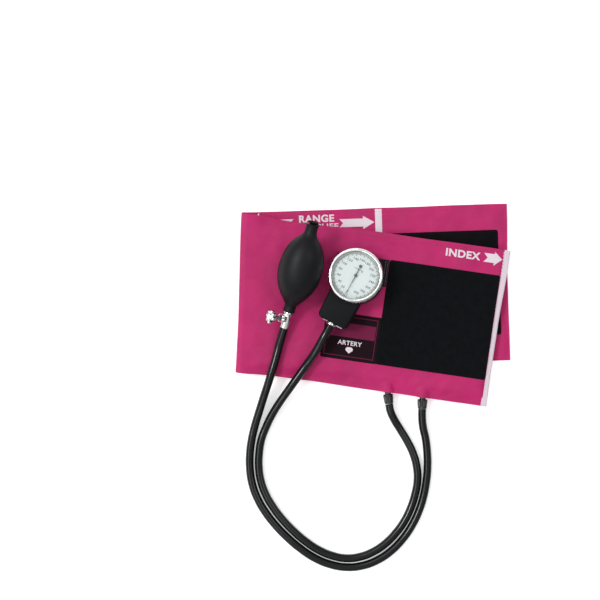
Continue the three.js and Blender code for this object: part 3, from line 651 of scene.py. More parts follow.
def over_port(x, y):
    """How far a port's sleeve pushes the sheets apart at a point of the plan, in millimetres."""
    most = 0.0
    for inverse in PORT_INVERSES:
        p = inverse @ (Vector((x, y, 0)) * MM) / MM
        bulge = 3.5 * math.exp(-((abs(p.x) / 5.2) ** 3)) * (1 - smooth(4, 16, p.y))
        most = max(most, bulge)
    return most


def sheet_point(fold, side, d, b):
    """Middle of a sheet: side +1 on the front and -1 on the flap, d from the fold, b across."""
    a = (d - side * b * SIN) / COS
    along = d + fold["extra"] * min(d / FOLD_ZONE, 1)
    quarter = fold["r"] * math.pi / 2
    if along < quarter:
        phi = along / fold["r"]
        x = fold["x"] - fold["r"] * math.cos(phi)
        z = fold["z"] + side * fold["r"] * math.sin(phi)
    else:
        x = fold["x"] + along - quarter
        z = fold["z"] + side * fold["r"]
    wave = 0.5 * ripple(a, 34, 3.3 if b > 0 else 8.8) * smooth(8, 40, d)
    share = b / HALF
    y = (b - side * d * SIN) / COS + wave * share**3
    x -= FOLD_BULGE * smooth(-0.6, 1, share) * (1 - smooth(0, 14, d))
    x += END_BOW * smooth(0, 1, share) * smooth(140, 240, d)
    if share < 0:
        y -= CORNER_DROOP * smooth(0.5, 1, -share) * (1 - smooth(0, 45, d))
    elif side > 0:
        y -= TOP_SAG * math.exp(-(((a - 42) / 42) ** 2)) * smooth(0.6, 1, share)
    away = smooth(5, 26, d)
    if side > 0:
        rim = max(smooth(59, 70, abs(b)), smooth(FRONT_LENGTH - 7, FRONT_LENGTH - 1, a))
        puff = 0.25 * smooth(0, 40, HALF - abs(b)) * smooth(24, 52, math.hypot(a - 104, b - 14))
        lift = front_relief(a, b) * (1 - 0.6 * rim)
        if fold is OUTER:
            z += away * (fold["taper"] * rim + min(lift + puff * (1 - rim), 0.34))
        else:
            z += away * (fold["taper"] * rim + 0.8 * lift)
        if b < -40 and 130 < d < 210:
            push = over_port(x, y)
            z = max(z, PORT_Z + push) if fold is OUTER else min(z, PORT_Z - push)
    else:
        z += flap_relief(a, b)
        if fold is INNER:
            rim = max(smooth(HALF - 6, HALF - 1, abs(b)), smooth(FLAP_LENGTH - 6, FLAP_LENGTH - 1, a))
            z -= 0.38 * rim * away
    return x, y, z


def sheet_row(fold, b):
    """One line of a sheet's points, from the index end round the fold to the flap's end.

    They stand close together round the bend, and then evenly.
    """
    line = []
    near = [FOLD_STEP * i for i in range(int(FOLD_ZONE / FOLD_STEP))]
    for side, reach in ((1, FRONT_LENGTH), (-1, FLAP_LENGTH)):
        even = reach * COS + side * b * SIN - FOLD_ZONE
        steps = round((reach - FOLD_ZONE) / EVEN_STEP)
        points = []
        for d in near + [FOLD_ZONE + i / steps * even for i in range(steps + 1)]:
            bow = math.sin(math.acos(1 - min(d / SHEET_CORNER, 1)))
            inset = SHEET_CORNER * (1 - bow) * 0.5
            points.append(sheet_point(fold, side, d, b * (1 - inset / HALF)))
        line += points[::-1] if side > 0 else points[1:]
    return line


def cuff_sheet(name, fold, look, nodes):
    """One sheet of nylon: both halves in one piece, built bent round the fold."""
    rows = [sheet_row(fold, HALF * (2 * j / SHEET_ROWS - 1)) for j in range(SHEET_ROWS + 1)]
    verts = sum(rows, [])
    obj = mesh_object(name, verts, grid_faces(len(rows[0]), len(verts)))
    outward(thickened(obj, CLOTH, 0))
    finish_piece(obj, look, None, nodes)
    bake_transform(obj)
    return obj


outer_sheet = cuff_sheet("nylon_outer", OUTER, nylon, ("front_outer_cover", "flap_outer_cover"))
inner_sheet = cuff_sheet("nylon_inner", INNER, nylon_inside, ("front_inner_cover", "flap_inner_cover"))


class Panel:
    """One face of the cuff, with +a along it from the fold and +b across. It finds the cloth's height.

    It looks down from the height start, and takes level where there is no cloth.
    """

    def __init__(self, sheet, matrix, start, level, body):
        mesh = sheet.data
        faces = [tuple(p.vertices) for p in mesh.polygons]
        self.tree = BVHTree.FromPolygons([v.co for v in mesh.vertices], faces)
        self.matrix, self.start, self.level, self.body = matrix, start, level, body

    def point(self, a, b, lift=0.0):
        flat = self.matrix @ (Vector((a, b, 0)) * MM)
        hit = self.tree.ray_cast(Vector((flat.x, flat.y, self.start * MM)), Vector((0, 0, -1)))[0]
        z = hit.z / MM if hit else self.level
        return Vector((flat.x / MM, flat.y / MM, z + lift))


front = Panel(outer_sheet, front_frame, 20.0, 8.7, FRONT)
front_lining = Panel(inner_sheet, front_frame, 7.9, 5.75, FRONT)
flap = Panel(inner_sheet, flap_frame, 4.6, 1.9, FLAP)


def on_front(a, b, z):
    """A point of the front panel in the CAD's axes."""
    return front_frame @ (Vector((a, b, z)) * MM) / MM


def spaced(low, high, step, rim):
    """Positions from low to high, closer together within the rim at both ends."""
    start = [rim * s for s in (0, 0.12, 0.35, 0.65, 1)]
    count = max(2, round((high - low - 2 * rim) / step))
    middle = [low + rim + (high - low - 2 * rim) * i / count for i in range(1, count)]
    return [low + s for s in start] + middle + [high - s for s in start[::-1]]


PATCH_LIFT, PATCH_STEP = 0.04, 2.0


def draped_patch(name, panel, box, thick, look, node, corner=2.0, rim=1.1):
    """A patch that lies on the cloth: flat below, with rounded edges and corners."""
    a0, a1, b0, b1 = box
    across, along = spaced(b0, b1, PATCH_STEP, rim), spaced(a0, a1, PATCH_STEP, rim)
    top, low = [], []
    for b in across:
        near = min(b - b0, b1 - b)
        inset = corner - math.sqrt(corner**2 - (corner - min(near, corner)) ** 2)
        for a in along:
            pa = a0 + inset + (a - a0) * (a1 - a0 - 2 * inset) / (a1 - a0)
            edge = min(near, a - a0, a1 - a)
            rise = math.sqrt(max(0.0, 1 - (1 - min(edge / rim, 1)) ** 2))
            base = panel.point(pa, b, PATCH_LIFT)
            low.append(base)
            top.append(base + Vector((0, 0, thick * rise)))
    obj = closed_skin(name, top, low, len(along))
    finish_piece(obj, look, panel.body, (node,))


PATCH_HALF = 48.5
loop_box = (132.9, 235.2, -PATCH_HALF, PATCH_HALF)
hook_box = (138.4, 240.4, -PATCH_HALF, PATCH_HALF)
label_box = (81.8, 133.6, -48.7, -5.8)
draped_patch("hook_pile_patch", flap, hook_box, 1.3, hook_pile, "hook_patch")
draped_patch("loop_pile_patch", front, loop_box, 1.2, loop_pile, "loop_patch")
draped_patch("label", front, label_box, 0.4, label_cloth, "cuff_label", 1.0, 0.4)
bar_box = (127.4, 133.7, -71.4, 71.6)
draped_patch("range_line", flap, bar_box, 0.25, print_white, "range_bar", 0.4, 0.2)

# ---------- printed marks ----------


def outline_mesh(outlines):
    """Flat faces in the panel's own millimetres."""
    grid = bmesh.new()
    for outline in outlines:
        grid.faces.new([grid.verts.new((x, y, 0)) for x, y in outline])
    return grid


def letters(text, box, weight):
    """Plain block letters that fill a box of (x0, x1, y0, y1), as a flat mesh."""
    data = bpy.data.curves.new(text, "FONT")
    data.body = text
    data.offset = weight
    data.resolution_u = 5
    data.space_character = 1.08
    holder = linked(text, data)
    bpy.context.view_layer.update()
    graph = bpy.context.evaluated_depsgraph_get()
    mesh = bpy.data.meshes.new_from_object(holder.evaluated_get(graph))
    bpy.data.objects.remove(holder)
    grid = bmesh.new()
    grid.from_mesh(mesh)
    bmesh.ops.remove_doubles(grid, verts=grid.verts, dist=1e-5)
    xs, ys = [v.co.x for v in grid.verts], [v.co.y for v in grid.verts]
    x0, x1, y0, y1 = box
    for v in grid.verts:
        v.co.x = x0 + (v.co.x - min(xs)) / (max(xs) - min(xs)) * (x1 - x0)
        v.co.y = y0 + (v.co.y - min(ys)) / (max(ys) - min(ys)) * (y1 - y0)
    return grid


def gathered(grids):
    """One flat mesh from several, which are used up."""
    whole = bmesh.new()
    for grid in grids:
        part = bpy.data.meshes.new("part")
        grid.to_mesh(part)
        grid.free()
        whole.from_mesh(part)
    return whole


def face_up(whole):
    """Turns every face of a flat mesh upwards."""
    for face in whole.faces:
        face.normal_update()
        if face.normal.z < 0:
            face.normal_flip()


def ink(name, whole, thick, matrix=None):
    """A flat mesh as an object, made solid downwards."""
    mesh = bpy.data.meshes.new(name)
    whole.to_mesh(mesh)
    whole.free()
    if matrix is not None:
        mesh.transform(matrix)
    return thickened(linked(name, mesh), thick, -1)


def printed(name, grids, panel, look, lift=0.1, thick=0.16, longest=1.6):
    """Flat meshes laid on the cloth as one thin printed piece, with no edge longer than longest."""
    whole = gathered(grids)
    bmesh.ops.triangulate(whole, faces=whole.faces)
    for _ in range(7):
        long_edges = [e for e in whole.edges if e.calc_length() > longest]
        if not long_edges:
            break
        bmesh.ops.subdivide_edges(whole, edges=long_edges, cuts=1)
        bmesh.ops.triangulate(whole, faces=[f for f in whole.faces if len(f.verts) > 3])
    bmesh.ops.recalc_face_normals(whole, faces=whole.faces)
    face_up(whole)
    for v in whole.verts:
        v.co = panel.point(v.co.x, v.co.y, lift) * MM
    finish_piece(ink(name, whole, thick), look, panel.body)


def arrow(tail, tip, y, shaft, head, head_length, notch):
    """An arrow along +x, or along -x if the tip is left of the tail, with a swallow tail."""
    way = 1 if tip > tail else -1
    neck = tip - way * head_length
    upper = [(tail, shaft / 2), (neck, shaft / 2), (neck, head / 2)]
    lower = [(x, -high) for x, high in upper[::-1]]
    outline = upper + [(tip, 0)] + lower + [(tail + way * notch, 0)]
    return [(x, y + high) for x, high in outline]


right_arrow = arrow(94.3, 126.6, 59.5, 7.4, 12.2, 10.4, 3.4)
left_arrow = arrow(52, 11.5, 61.1, 7.4, 21.6, 8.8, 3.4)
index_arrow = arrow(217.9, 235.0, 63.3, 8.2, 13.0, 7.4, 3.6)
range_words = letters("RANGE", (57, 89.5, 61.1, 68.0), 0.035)
cuff_words = letters("OF CUFF", (56, 93.2, 54.0, 59.7), 0.02)
index_word = letters("INDEX", (182.7, 214.8, 59.7, 66.8), 0.035)
range_grids = [range_words, cuff_words, outline_mesh([right_arrow, left_arrow])]
index_grids = [index_word, outline_mesh([index_arrow])]
printed("range_marks", range_grids, flap, print_white)
printed("index_marks", index_grids, front, print_white)


def frame_outline(a0, a1, b0, b1, wide):
    """A thin rectangular line, as four bars."""
    bars = [
        (a0, a1, b0, b0 + wide), (a0, a1, b1 - wide, b1), (a0, a0 + wide, b0 + wide, b1 - wide),
        (a1 - wide, a1, b0 + wide, b1 - wide),
    ]
    return [[(x0, y0), (x1, y0), (x1, y1), (x0, y1)] for x0, x1, y0, y1 in bars]


LABEL_LIFT, LABEL_INK = 0.53, 0.1
pink_band = [(85.6, -27.8), (129.3, -27.8), (129.3, -14.8), (85.6, -14.8)]
band_grid = outline_mesh([pink_band] + frame_outline(84.4, 130.5, -45.6, -8.7, 0.6))
printed("label_band", [band_grid], front, label_pink, LABEL_LIFT, LABEL_INK)
artery_mark = [
    (104.2, -39.6), (104.2, -37.9), (105.6, -36.6), (109.4, -36.6), (110.8, -37.9), (110.8, -39.6),
    (107.5, -42.4),
]
artery_grids = [letters("ARTERY", (96, 118.5, -34.9, -30.8), 0.025), outline_mesh([artery_mark])]
printed("artery_marks", artery_grids, front, print_white, LABEL_LIFT, LABEL_INK, 1.2)

# ---------- stitching ----------
STITCH_SIDES = 6
STITCH_SECTIONS = [(-0.5, 0.25), (-0.42, 0.75), (-0.2, 1), (0.2, 1), (0.42, 0.75), (0.5, 0.25)]


def stitch(start, end, radius):
    """Points of one raised thread: a small capsule with a low arch."""
    axis = (end - start).normalized()
    across = axis.cross(Vector((0, 0, 1))).normalized()
    up = across.cross(axis)
    points = []
    for s, r in STITCH_SECTIONS:
        middle = start.lerp(end, s + 0.5) + up * (0.1 * (1 - 4 * s * s) - 0.05)
        for k in range(STITCH_SIDES):
            angle = 2 * math.pi * k / STITCH_SIDES
            offset = across * math.cos(angle) + up * math.sin(angle)
            points.append(middle + offset * radius * r)
    return points


def stitch_rows(name, panel, paths, look, pitch=3.1, length=2.3, radius=0.24, lift=0.05):
    """Short raised threads along paths of (a, b) points."""
    verts, faces = [], []
    for path in paths:
        for (a0, b0), (a1, b1) in zip(path, path[1:]):
            run = math.hypot(a1 - a0, b1 - b0)
            da, db = (a1 - a0) / run * length / 2, (b1 - b0) / run * length / 2
            count = max(1, round(run / pitch))
            for i in range(count):
                t = (i + 0.5) / count
                a, b = a0 + (a1 - a0) * t, b0 + (b1 - b0) * t
                start, end = panel.point(a - da, b - db, lift), panel.point(a + da, b + db, lift)
                faces += tube_faces(len(verts), len(STITCH_SECTIONS), STITCH_SIDES)
                verts += stitch(start, end, radius)
    finish_piece(mesh_object(name, verts, faces), look, panel.body)


def loop_path(box, inset):
    """A closed path inside a patch's edge."""
    a0, a1, b0, b1 = box[0] + inset, box[1] - inset, box[2] + inset, box[3] - inset
    return [(a0, b0), (a1, b0), (a1, b1), (a0, b1), (a0, b0)]


HEM = HALF - 3.6
FLAP_END = FLAP_LENGTH - 4
front_hems = [[(9, HEM), (233, HEM)], [(16, -HEM), (233, -HEM)]]
flap_hem = [(9, -HEM), (FLAP_END, -HEM), (FLAP_END, HEM), (16, HEM)]
loop_seam, hook_seam = loop_path(loop_box, 1.9), loop_path(hook_box, 1.9)
label_seam = loop_path(label_box, 1.2)
stitch_rows("front_hem_stitches", front, front_hems, thread_pink)
stitch_rows("flap_hem_stitches", flap, [flap_hem], thread_pink)
stitch_rows("loop_patch_stitches", front, [loop_seam], thread_black, lift=1.24)
stitch_rows("hook_patch_stitches", flap, [hook_seam], thread_black, lift=1.34)
stitch_rows("label_stitches", front, [label_seam], thread_black, 2.4, 1.8, 0.18, 0.45)

# ---------- binding of the index end ----------


def binding():
    """White tape folded round the index end, from above the outer sheet to below the inner one."""
    a0, a1, wall = 234.6, 240.1, 0.45
    probe, rows = 236.4, 72
    verts = []
    for j in range(rows + 1):
        b = -HALF - 0.2 + (WIDTH + 0.4) * j / rows
        near = max(-HALF + 0.8, min(HALF - 0.8, b))
        top = front.point(probe, near).z + 0.03
        low = front_lining.point(probe, near).z - CLOTH - 0.03
        sway = 0.35 * ripple(b, 30, 4.4) + END_BOW * smooth(0, HALF, b)
        middle = (top + low) / 2
        section = [
            (a0, top), (a0, top + wall * 0.7), (a0 + 0.35, top + wall),
            (a1 - 0.9, top + wall * 0.9),
            (a1 - 0.25, (top * 2 + middle) / 3 + wall * 0.3),
            (a1, middle),
            (a1 - 0.25, (low * 2 + middle) / 3 - wall * 0.3),
            (a1 - 0.9, low - wall * 0.9), (a0 + 0.35, low - wall), (a0, low - wall * 0.7),
            (a0, low), (FRONT_LENGTH + 0.15, low), (FRONT_LENGTH + 0.15, top),
        ]
        verts += [on_front(a + sway, b, z) for a, z in section]
    faces = tube_faces(0, rows + 1, len(section))
    obj = outward(mesh_object("index_tape", verts, faces))
    finish_piece(obj, tape_white, FRONT, ("index_binding",))


binding()
tape_seam = [(235.8, 71.4), (235.8, -71.4)]
stitch_rows("tape_stitches", front, [tape_seam], thread_white, radius=0.2, lift=0.5)

# ---------- bladder ----------


def bladder():
    """A thin rubber bag between the sheets: crowned, with a flat welded rim."""
    a0, a1, b0, b1 = 14.0, 226.0, -60.0, 60.0
    across, along = spaced(b0, b1, 4, 3), spaced(a0, a1, 4, 3)
    top, low = [], []
    for b in across:
        for a in along:
            edge = min(a - a0, a1 - a, b - b0, b1 - b)
            crown = 0.35 * smooth(0, 1, edge) + 0.9 * smooth(4, 16, edge)
            floor_z = front_lining.point(a, b).z
            middle = (floor_z + front.point(a, b).z - CLOTH) / 2
            fullness = min(crown, middle - floor_z - 0.25)
            top.append(on_front(a, b, middle + fullness))
            low.append(on_front(a, b, middle - fullness))
    obj = closed_skin("rubber_bladder", top, low, len(along))
    finish_piece(obj, bladder_rubber, FRONT, ("bladder",))


bladder()

# ---------- gauge strap ----------


def gauge_plane(a, b, local):
    """Height of a plane of the tilted gauge above a point of the front panel."""
    x = a * COS + b * SIN + FOLD_X - GAUGE_AT[0]
    y = -a * SIN + b * COS - GAUGE_AT[1]
    along = x * math.cos(rad(GAUGE_LEAN)) + y * math.sin(rad(GAUGE_LEAN))
    return GAUGE_AT[2] + local / math.cos(rad(GAUGE_TILT)) - along * math.tan(rad(GAUGE_TILT))


def strap():
    """Ribbed webbing, sewn down at both ends and lifted over the clip's lower leaf."""
    a0, a1, b0, b1, thick = 84.0, 132.6, 23.0, 48.0, 1.0
    across, along = spaced(b0, b1, 1.3, 1.0), spaced(a0, a1, 0.8, 0.8)
    top, low = [], []
    for b in across:
        for a in along:
            ground = front.point(a, b).z + 0.06
            lifted = smooth(86.0, 91.5, a) * (1 - smooth(122.5, 128.5, a))
            base = ground + (gauge_plane(a, b, -2.8) - ground) * lifted
            edge = min(b - b0, b1 - b, a - a0, a1 - a)
            rise = math.sqrt(max(0.0, 1 - (1 - min(edge / 0.6, 1)) ** 2))
            rib = 0.09 * math.sin(2 * math.pi * a / 1.9) * smooth(0.4, 1.2, edge)
            low.append(on_front(a, b, base))
            top.append(on_front(a, b, base + (thick - 0.1 + rib) * rise))
    obj = closed_skin("gauge_webbing", top, low, len(along))
    finish_piece(obj, webbing, FRONT, ("gauge_strap",))


strap()
strap_seams = [[(a, 24.4), (a, 46.6)] for a in (85.2, 129.3, 131.3)]
stitch_rows("strap_stitches", front, strap_seams, thread_grey, 2.0, 1.6, 0.2, 1.0)

# ---------- booleans ----------


def combined(obj, other, operation):
    """Joins, cuts or meets two closed pieces, and removes the second."""
    modifier = obj.modifiers.new("boolean", "BOOLEAN")
    modifier.operation = operation
    modifier.solver = "EXACT"
    modifier.object = other
    baked(obj)
    bpy.data.objects.remove(other)
    return obj


def rounded(points, radius, steps=3):
    """A closed outline of (x, y) points with each corner turned into a small curve."""
    out = []
    count = len(points)
    for i in range(count):
        before, here, after = (Vector(points[(i + k) % count]) for k in (-1, 0, 1))
        cut = min(radius, (before - here).length / 2.2, (after - here).length / 2.2)
        start = here + (before - here).normalized() * cut
        end = here + (after - here).normalized() * cut
        for k in range(steps + 1):
            t = k / steps
            point = start * (1 - t) ** 2 + here * (2 * t * (1 - t)) + end * t * t
            out.append((point.x, point.y))
    return out


# ---------- gauge ----------
CASE_R, FLANGE_R, BEZEL_R, WINDOW_R = 23.6, 25.4, 24.9, 21.4
CASE_HIGH, BEZEL_FROM, BEZEL_TOP, LENS_TOP = 16.6, 12.2, 18.8, 17.5
DIAL_TOP, DIAL_END = 13.9, 300

case_profile = [
    (0.02, 0.0), (FLANGE_R - 3.6, 0.0), (FLANGE_R - 1.2, 0.25), (FLANGE_R - 0.2, 1.1),
    (FLANGE_R, 2.4), (FLANGE_R - 0.3, 3.7), (FLANGE_R - 1.0, 4.6), (CASE_R, 5.2),
    (CASE_R, CASE_HIGH - 0.3), (CASE_R - 0.3, CASE_HIGH), (22.5, CASE_HIGH), (22.5, 10.2),
    (20.8, 10.2), (20.8, 1.5), (0.02, 1.5),
]
case = lathe("case", rounded(case_profile, 0.5), gauge_frame, sides=144)
finish_piece(case, enamel, FRONT, ("gauge_case",))

bezel_profile = [
    (CASE_R + 0.3, BEZEL_FROM), (BEZEL_R - 0.25, BEZEL_FROM), (BEZEL_R, BEZEL_FROM + 0.4),
    (BEZEL_R, 13.5), (BEZEL_R - 0.35, 13.8), (BEZEL_R - 0.35, 14.3), (BEZEL_R, 14.6),
    (BEZEL_R, 16.9), (BEZEL_R - 0.35, 17.9), (BEZEL_R - 1.1, BEZEL_TOP - 0.15),
    (BEZEL_R - 1.9, BEZEL_TOP), (BEZEL_R - 2.7, BEZEL_TOP - 0.25),
    (BEZEL_R - 3.3, BEZEL_TOP - 0.8), (WINDOW_R, BEZEL_TOP - 1.0),
    (CASE_R + 0.3, BEZEL_TOP - 1.15),
]
bezel = lathe("bezel", rounded(bezel_profile, 0.3), gauge_frame, sides=160)
finish_piece(bezel, chrome, FRONT, ("gauge_bezel",))

lens_profile = [
    (0.02, LENS_TOP - 1.2), (12, LENS_TOP - 1.05), (CASE_R - 0.7, LENS_TOP - 0.6),
    (CASE_R - 0.6, LENS_TOP - 0.1), (WINDOW_R + 0.4, LENS_TOP), (17, LENS_TOP + 0.2),
    (11, LENS_TOP + 0.42), (5, LENS_TOP + 0.56), (0.02, LENS_TOP + 0.6),
]
lens = lathe("lens", lens_profile, gauge_frame, sides=128)
finish_piece(lens, lens_glass, FRONT, ("gauge_lens",))


def dial_point(pressure, radius):
    """A point of the dial: zero towards the stem, rising clockwise to 300."""
    angle = rad(-90 - 1.1 * pressure)
    return radius * math.cos(angle), radius * math.sin(angle)


def tick(pressure, inner, outer, wide):
    """A radial line of the dial as a thin rectangle."""
    (x0, y0), (x1, y1) = dial_point(pressure, inner), dial_point(pressure, outer)
    run = math.hypot(x1 - x0, y1 - y0)
    nx, ny = -(y1 - y0) / run * wide / 2, (x1 - x0) / run * wide / 2
    return [(x0 + nx, y0 + ny), (x0 - nx, y0 - ny), (x1 - nx, y1 - ny), (x1 + nx, y1 + ny)]


def dial_arc(inner, outer, steps=120):
    """A thin arc along the whole scale, as flat quads."""
    quads = []
    for i in range(steps):
        p, q = (DIAL_END * k / steps for k in (i, i + 1))
        corners = [(p, inner), (p, outer), (q, outer), (q, inner)]
        quads.append([dial_point(pressure, radius) for pressure, radius in corners])
    return quads


def flat_ink(name, grids, height):
    """Flat meshes printed on the dial, with their upper face at that height."""
    whole = gathered(grids)
    bmesh.ops.remove_doubles(whole, verts=whole.verts, dist=1e-5)
    face_up(whole)
    for v in whole.verts:
        v.co = Vector((v.co.x, v.co.y, height)) * MM
    obj = ink(name, whole, 0.1, gauge_frame)
    finish_piece(obj, dial_ink, FRONT, shade=False)


def dial_marks():
    """Scale from 0 to 300 in steps of 2, numbered every 20, with the unit."""
    ticks = []
    for pressure in range(0, DIAL_END + 1, 2):
        if pressure % 10:
            ticks.append(tick(pressure, 19.6, 20.6, 0.16))
        else:
            ticks.append(tick(pressure, 18.5 if pressure % 20 else 17.9, 20.6, 0.3))
    arcs = dial_arc(20.55, 20.8) + dial_arc(19.5, 19.62)
    grids = [outline_mesh(ticks), outline_mesh(arcs)]
    for pressure in range(20, DIAL_END + 1, 20):
        x, y = dial_point(pressure, 15.3)
        half = 0.8 * len(str(pressure))
        grids.append(letters(str(pressure), (x - half, x + half, y - 1.05, y + 1.05), 0.01))
    x, y = dial_point(0, 15.9)
    grids.append(letters("0", (x - 0.75, x + 0.75, y - 1.05, y + 1.05), 0.01))
    grids.append(letters("mmHg", (-4.3, 4.3, 5.0, 7.2), 0.005))
    flat_ink("dial_marks", grids, DIAL_TOP + 0.06)


dial_marks()
zero_box = frame_outline(-1.25, 1.25, -21.1, -17.4, 0.22)
flat_ink("zero_box", [outline_mesh(zero_box)], DIAL_TOP + 0.07)


def needle():
    """A fine tapered hand with a round tail and a domed hub."""
    edge = [(0.3, 8.6), (0.42, 0.5), (0.34, -6), (0.1, -18.6)]
    blade = [(-x, y) for x, y in edge] + edge[::-1]
    hand = prism("needle", blade, 15.34, 15.58, gauge_frame)
    round_tail = [(0.02, 15.3), (1.35, 15.3), (1.45, 15.45), (1.35, 15.62), (0.02, 15.62)]
    tail = lathe("tail", round_tail, gauge_frame @ place(0, 9.4, 0), sides=48)
    dome = [(0.02, 15.32), (1.5, 15.32), (1.55, 15.5), (1.35, 15.82), (0.8, 15.95), (0.02, 16.0)]
    hub = lathe("hub", dome, gauge_frame, sides=48)
    combined(combined(hand, tail, "UNION"), hub, "UNION")
    finish_piece(hand, needle_paint, "pointer_shaft", ("pointer",))


needle()


def neck():
    """The moulded neck that carries the stem: a rounded wedge that meets the case."""
    root, end = -13.0, -47.6
    outline = rounded([(15.6, root), (-15.6, root), (-14.5, end), (14.5, end)], 4.4, 8)
    body = prism("neck", outline, 0.0, 10.4, gauge_frame)
    bevelled(body, 1.7, 5, 40)
    wide, narrow = FLANGE_R + 0.3, CASE_R + 0.3
    space = [(0.02, -5), (wide, -5), (wide, 5.0), (narrow, 5.5), (narrow, 30), (0.02, 30)]
    case_space = lathe("space", space, gauge_frame, sides=144)
    combined(body, case_space, "DIFFERENCE")
    hole = [(0.02, end - 8), (3.3, end - 8), (3.3, -31), (0.02, -31)]
    bore = lathe("bore", hole, stem_frame, "Y", 64)
    combined(body, bore, "DIFFERENCE")
    finish_piece(body, neck_rubber, FRONT, ("gauge_neck",))


neck()

stem_profile = [
    (0.02, -50.2), (4.0, -50.2), (4.5, -49.9), (4.6, -49.5), (4.6, -48.3), (4.3, -47.9),
    (3.0, -47.9), (3.0, -33.0), (0.02, -33.0),
]
stem = lathe("stem_ferrule", stem_profile, stem_frame, "Y", 72)
finish_piece(stem, chrome, FRONT, ("gauge_stem",))


def clip():
    """Spring clip bent from one strip: an upper leaf, a bend and a lower leaf."""
    wall, upper, lower, bend, half = 1.0, -0.3, -4.3, -46.6, 10.0
    middle, outer = (upper + lower) / 2, (upper - lower) / 2
    turn_steps = 14
    outside, inside = [(12, upper), (bend, upper)], [(12, upper - wall), (bend, upper - wall)]
    for i in range(1, turn_steps):
        angle = math.pi / 2 + math.pi * i / turn_steps
        for line, radius in ((outside, outer), (inside, outer - wall)):
            line.append((bend + radius * math.cos(angle), middle + radius * math.sin(angle)))
    outside += [(y, lower) for y in (bend, 16, 20)]
    inside += [(y, lower + wall) for y in (bend, 16, 20)]
    across = gauge_frame @ turn(90, "Z") @ turn(90, "X")
    obj = prism("spring_clip", outside + inside[::-1], -half, half, across)
    bevelled(obj, 0.22, 3, 50)
    finish_piece(obj, chrome, FRONT, ("gauge_clip",))


clip()

# ---------- bulb ----------


def eased_profile(points, steps):
    """A smooth curve through (radius, height) points."""
    return [(p.x, p.y) for p in eased([(r, y, 0) for r, y in points], steps)]


INLET_END = 44.4
BULB_OUTSIDE = [
    (5.4, -40.4), (5.5, -39.4), (5.4, -36.8), (5.7, -33.8), (8.4, -30.2), (12.4, -24.8),
    (15.9, -19), (18.7, -11.4), (19.9, -4), (20, 3), (18.8, 12.6), (15.9, 20.8), (11.8, 27),
    (7.9, 31.4), (6.0, 34.8), (5.4, 38.2), (5.5, 42.4), (5.9, 44.2), (5.5, INLET_END),
]
SEAM_SIDES = (rad(62), rad(242))


def bulb():
    """The squeeze bulb: an egg of thick rubber with a neck at each end and mould seams."""
    outside = eased_profile(BULB_OUTSIDE, 5)
    bore = 3.4
    inside = [(bore, INLET_END), (bore, INLET_END - 12.4)]
    inside += [(max(bore, r - 2.6), y * 0.94) for r, y in BULB_OUTSIDE[12:3:-1]]
    inside += [(bore, -32), (bore, -40.4)]

    def seam(angle, r, y):
        """Two mould lines run along it, and the open end is cut at a slant."""
        away = min(abs(math.remainder(angle - side, 2 * math.pi)) for side in SEAM_SIDES) * max(r, 1)
        line = 0.16 * math.exp(-((away / 0.45) ** 2)) if r > bore + 0.5 and y < 43 else 0
        slant = 1.5 * smooth(40, INLET_END, y) * (1 - math.sin(angle)) / 2
        return r + line, y - slant

    obj = lathe("squeeze_bulb", outside + inside, bulb_frame, "Y", 180, seam)
    finish_piece(obj, bulb_rubber, FRONT, ("bulb",))


bulb()

# ---------- air release valve ----------


def valve_shell():
    """Turned chrome body with two collars and a side boss for the stem."""
    profile = [
        (1.3, -56.6), (3.7, -56.6), (4.2, -56.3), (4.4, -55.8), (4.4, -55.0), (4.15, -54.6),
        (4.15, -42.7), (4.4, -42.3), (4.4, -41.2), (4.1, -40.7), (3.1, -40.7), (3.1, -33.5),
        (1.3, -33.5), (1.3, -35.0), (2.0, -36.0), (2.0, -41.0), (1.3, -42.0),
    ]
    body = lathe("release_valve", profile, valve_frame, "Y", 96)
    boss_profile = [
        (0.02, 2.4), (4.1, 2.4), (4.1, 5.6), (3.8, 5.9), (3.8, 6.3), (4.1, 6.6), (4.1, 7.1),
        (3.8, 7.4), (0.02, 7.4),
    ]
    combined(body, lathe("boss", boss_profile, knob_frame), "UNION")
    hole = [(0.02, 1.0), (1.9, 1.0), (1.9, 6.2), (2.6, 6.2), (2.6, 9), (0.02, 9)]
    combined(body, lathe("hole", hole, knob_frame, sides=64), "DIFFERENCE")
    finish_piece(body, chrome, FRONT, ("valve_body",))


valve_shell()


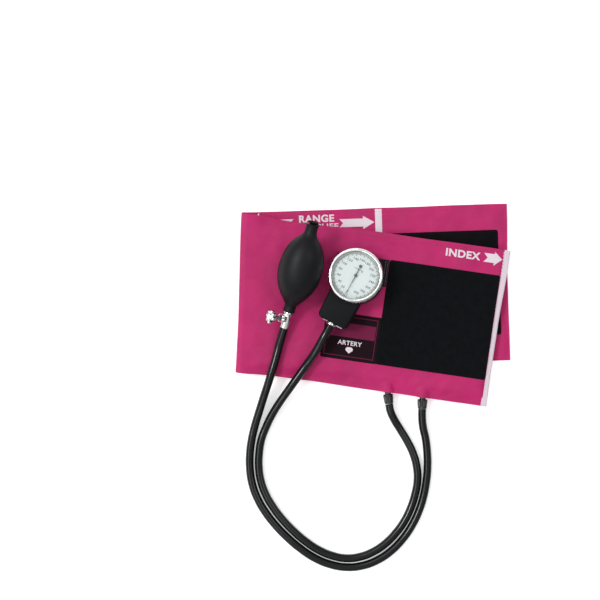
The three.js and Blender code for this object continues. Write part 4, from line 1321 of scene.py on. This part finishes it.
def knob():
    """Thumb knob: round-ended rods about a hub that stands out on both faces."""
    low, high, lobes, lobe_at, lobe_r = 14.2, 20.0, 8, 4.75, 1.75
    profile = [
        (1.75, low), (3.9, low), (4.3, low + 0.3), (4.35, low + 1.2), (4.7, low + 1.6),
        (4.7, high - 1.3), (4.1, high - 1.0), (3.3, high - 0.9), (2.9, high - 0.1), (0.02, high),
        (0.02, high - 0.4), (1.75, high - 0.4),
    ]
    foot, head = low + 1.1, high - 0.5
    rod = [
        (0.02, foot), (lobe_r * 0.55, foot + 0.1), (lobe_r * 0.85, foot + 0.5),
        (lobe_r, foot + 1.2), (lobe_r, head - 1.2), (lobe_r * 0.85, head - 0.5),
        (lobe_r * 0.55, head - 0.1), (0.02, head),
    ]
    body = lathe("thumb_knob", rounded(profile, 0.35), knob_frame)
    for i in range(lobes):
        spot = knob_frame @ turn(360 * i / lobes, "Z") @ place(lobe_at, 0, 0)
        combined(body, lathe("lobe", rod, spot, sides=40), "UNION")
    finish_piece(body, chrome, "knob", ("valve_knob",))


knob()

# ---------- port sleeves ----------


def sleeve(side):
    """Moulded sleeve of a hose port, with flutes along its grip."""
    profile = [
        (2.5, -10.5), (3.9, -10.5), (4.1, -10.2), (4.15, -9.4), (4.15, -9.0), (4.3, -8.6),
        (4.7, -3.2), (4.65, -2.4), (4.3, -1.9), (2.9, -1.7), (2.9, 5.0), (2.5, 5.1),
    ]

    def flute(angle, r, y):
        """Ten shallow grooves along the grip."""
        deep = 0.4 * smooth(4.15, 4.3, r) * smooth(-9.2, -8.4, y) * (1 - smooth(-3.6, -2.6, y))
        return r - deep * (0.5 + 0.5 * math.cos(10 * angle)), y

    points = profile[:3] + eased_profile(profile[3:9], 6) + profile[9:]
    obj = lathe(f"port_{side}", points, port_frames[side], "Y", 168, flute)
    finish_piece(obj, sleeve_rubber, FRONT, (f"port_sleeve_{side}",))


for port_side in PORTS:
    sleeve(port_side)

# ---------- materials of the pieces that keep their own shape ----------
KEPT = (
    (dial_paint, ("dial_plate",)),
    (brass, ("dial_ring", "movement_plate", "pressure_capsule", "sector_gear", "hairspring")),
    (steel, ("capsule_pin", "rocking_shaft", "pointer_arbor", "inlet_ball", "outlet_ball")),
    (steel, ("valve_stem", "port_barb_left", "port_barb_right")),
    (inlet_rubber, ("inlet_valve_body",)),
    (sleeve_rubber, ("stem_seal",)),
)
for look, nodes in KEPT:
    for node in nodes:
        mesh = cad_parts[node].data
        mesh.materials.clear()
        mesh.materials.append(look.material)
        mesh.shade_smooth()
        mesh.set_sharp_from_angle(angle=rad(32))
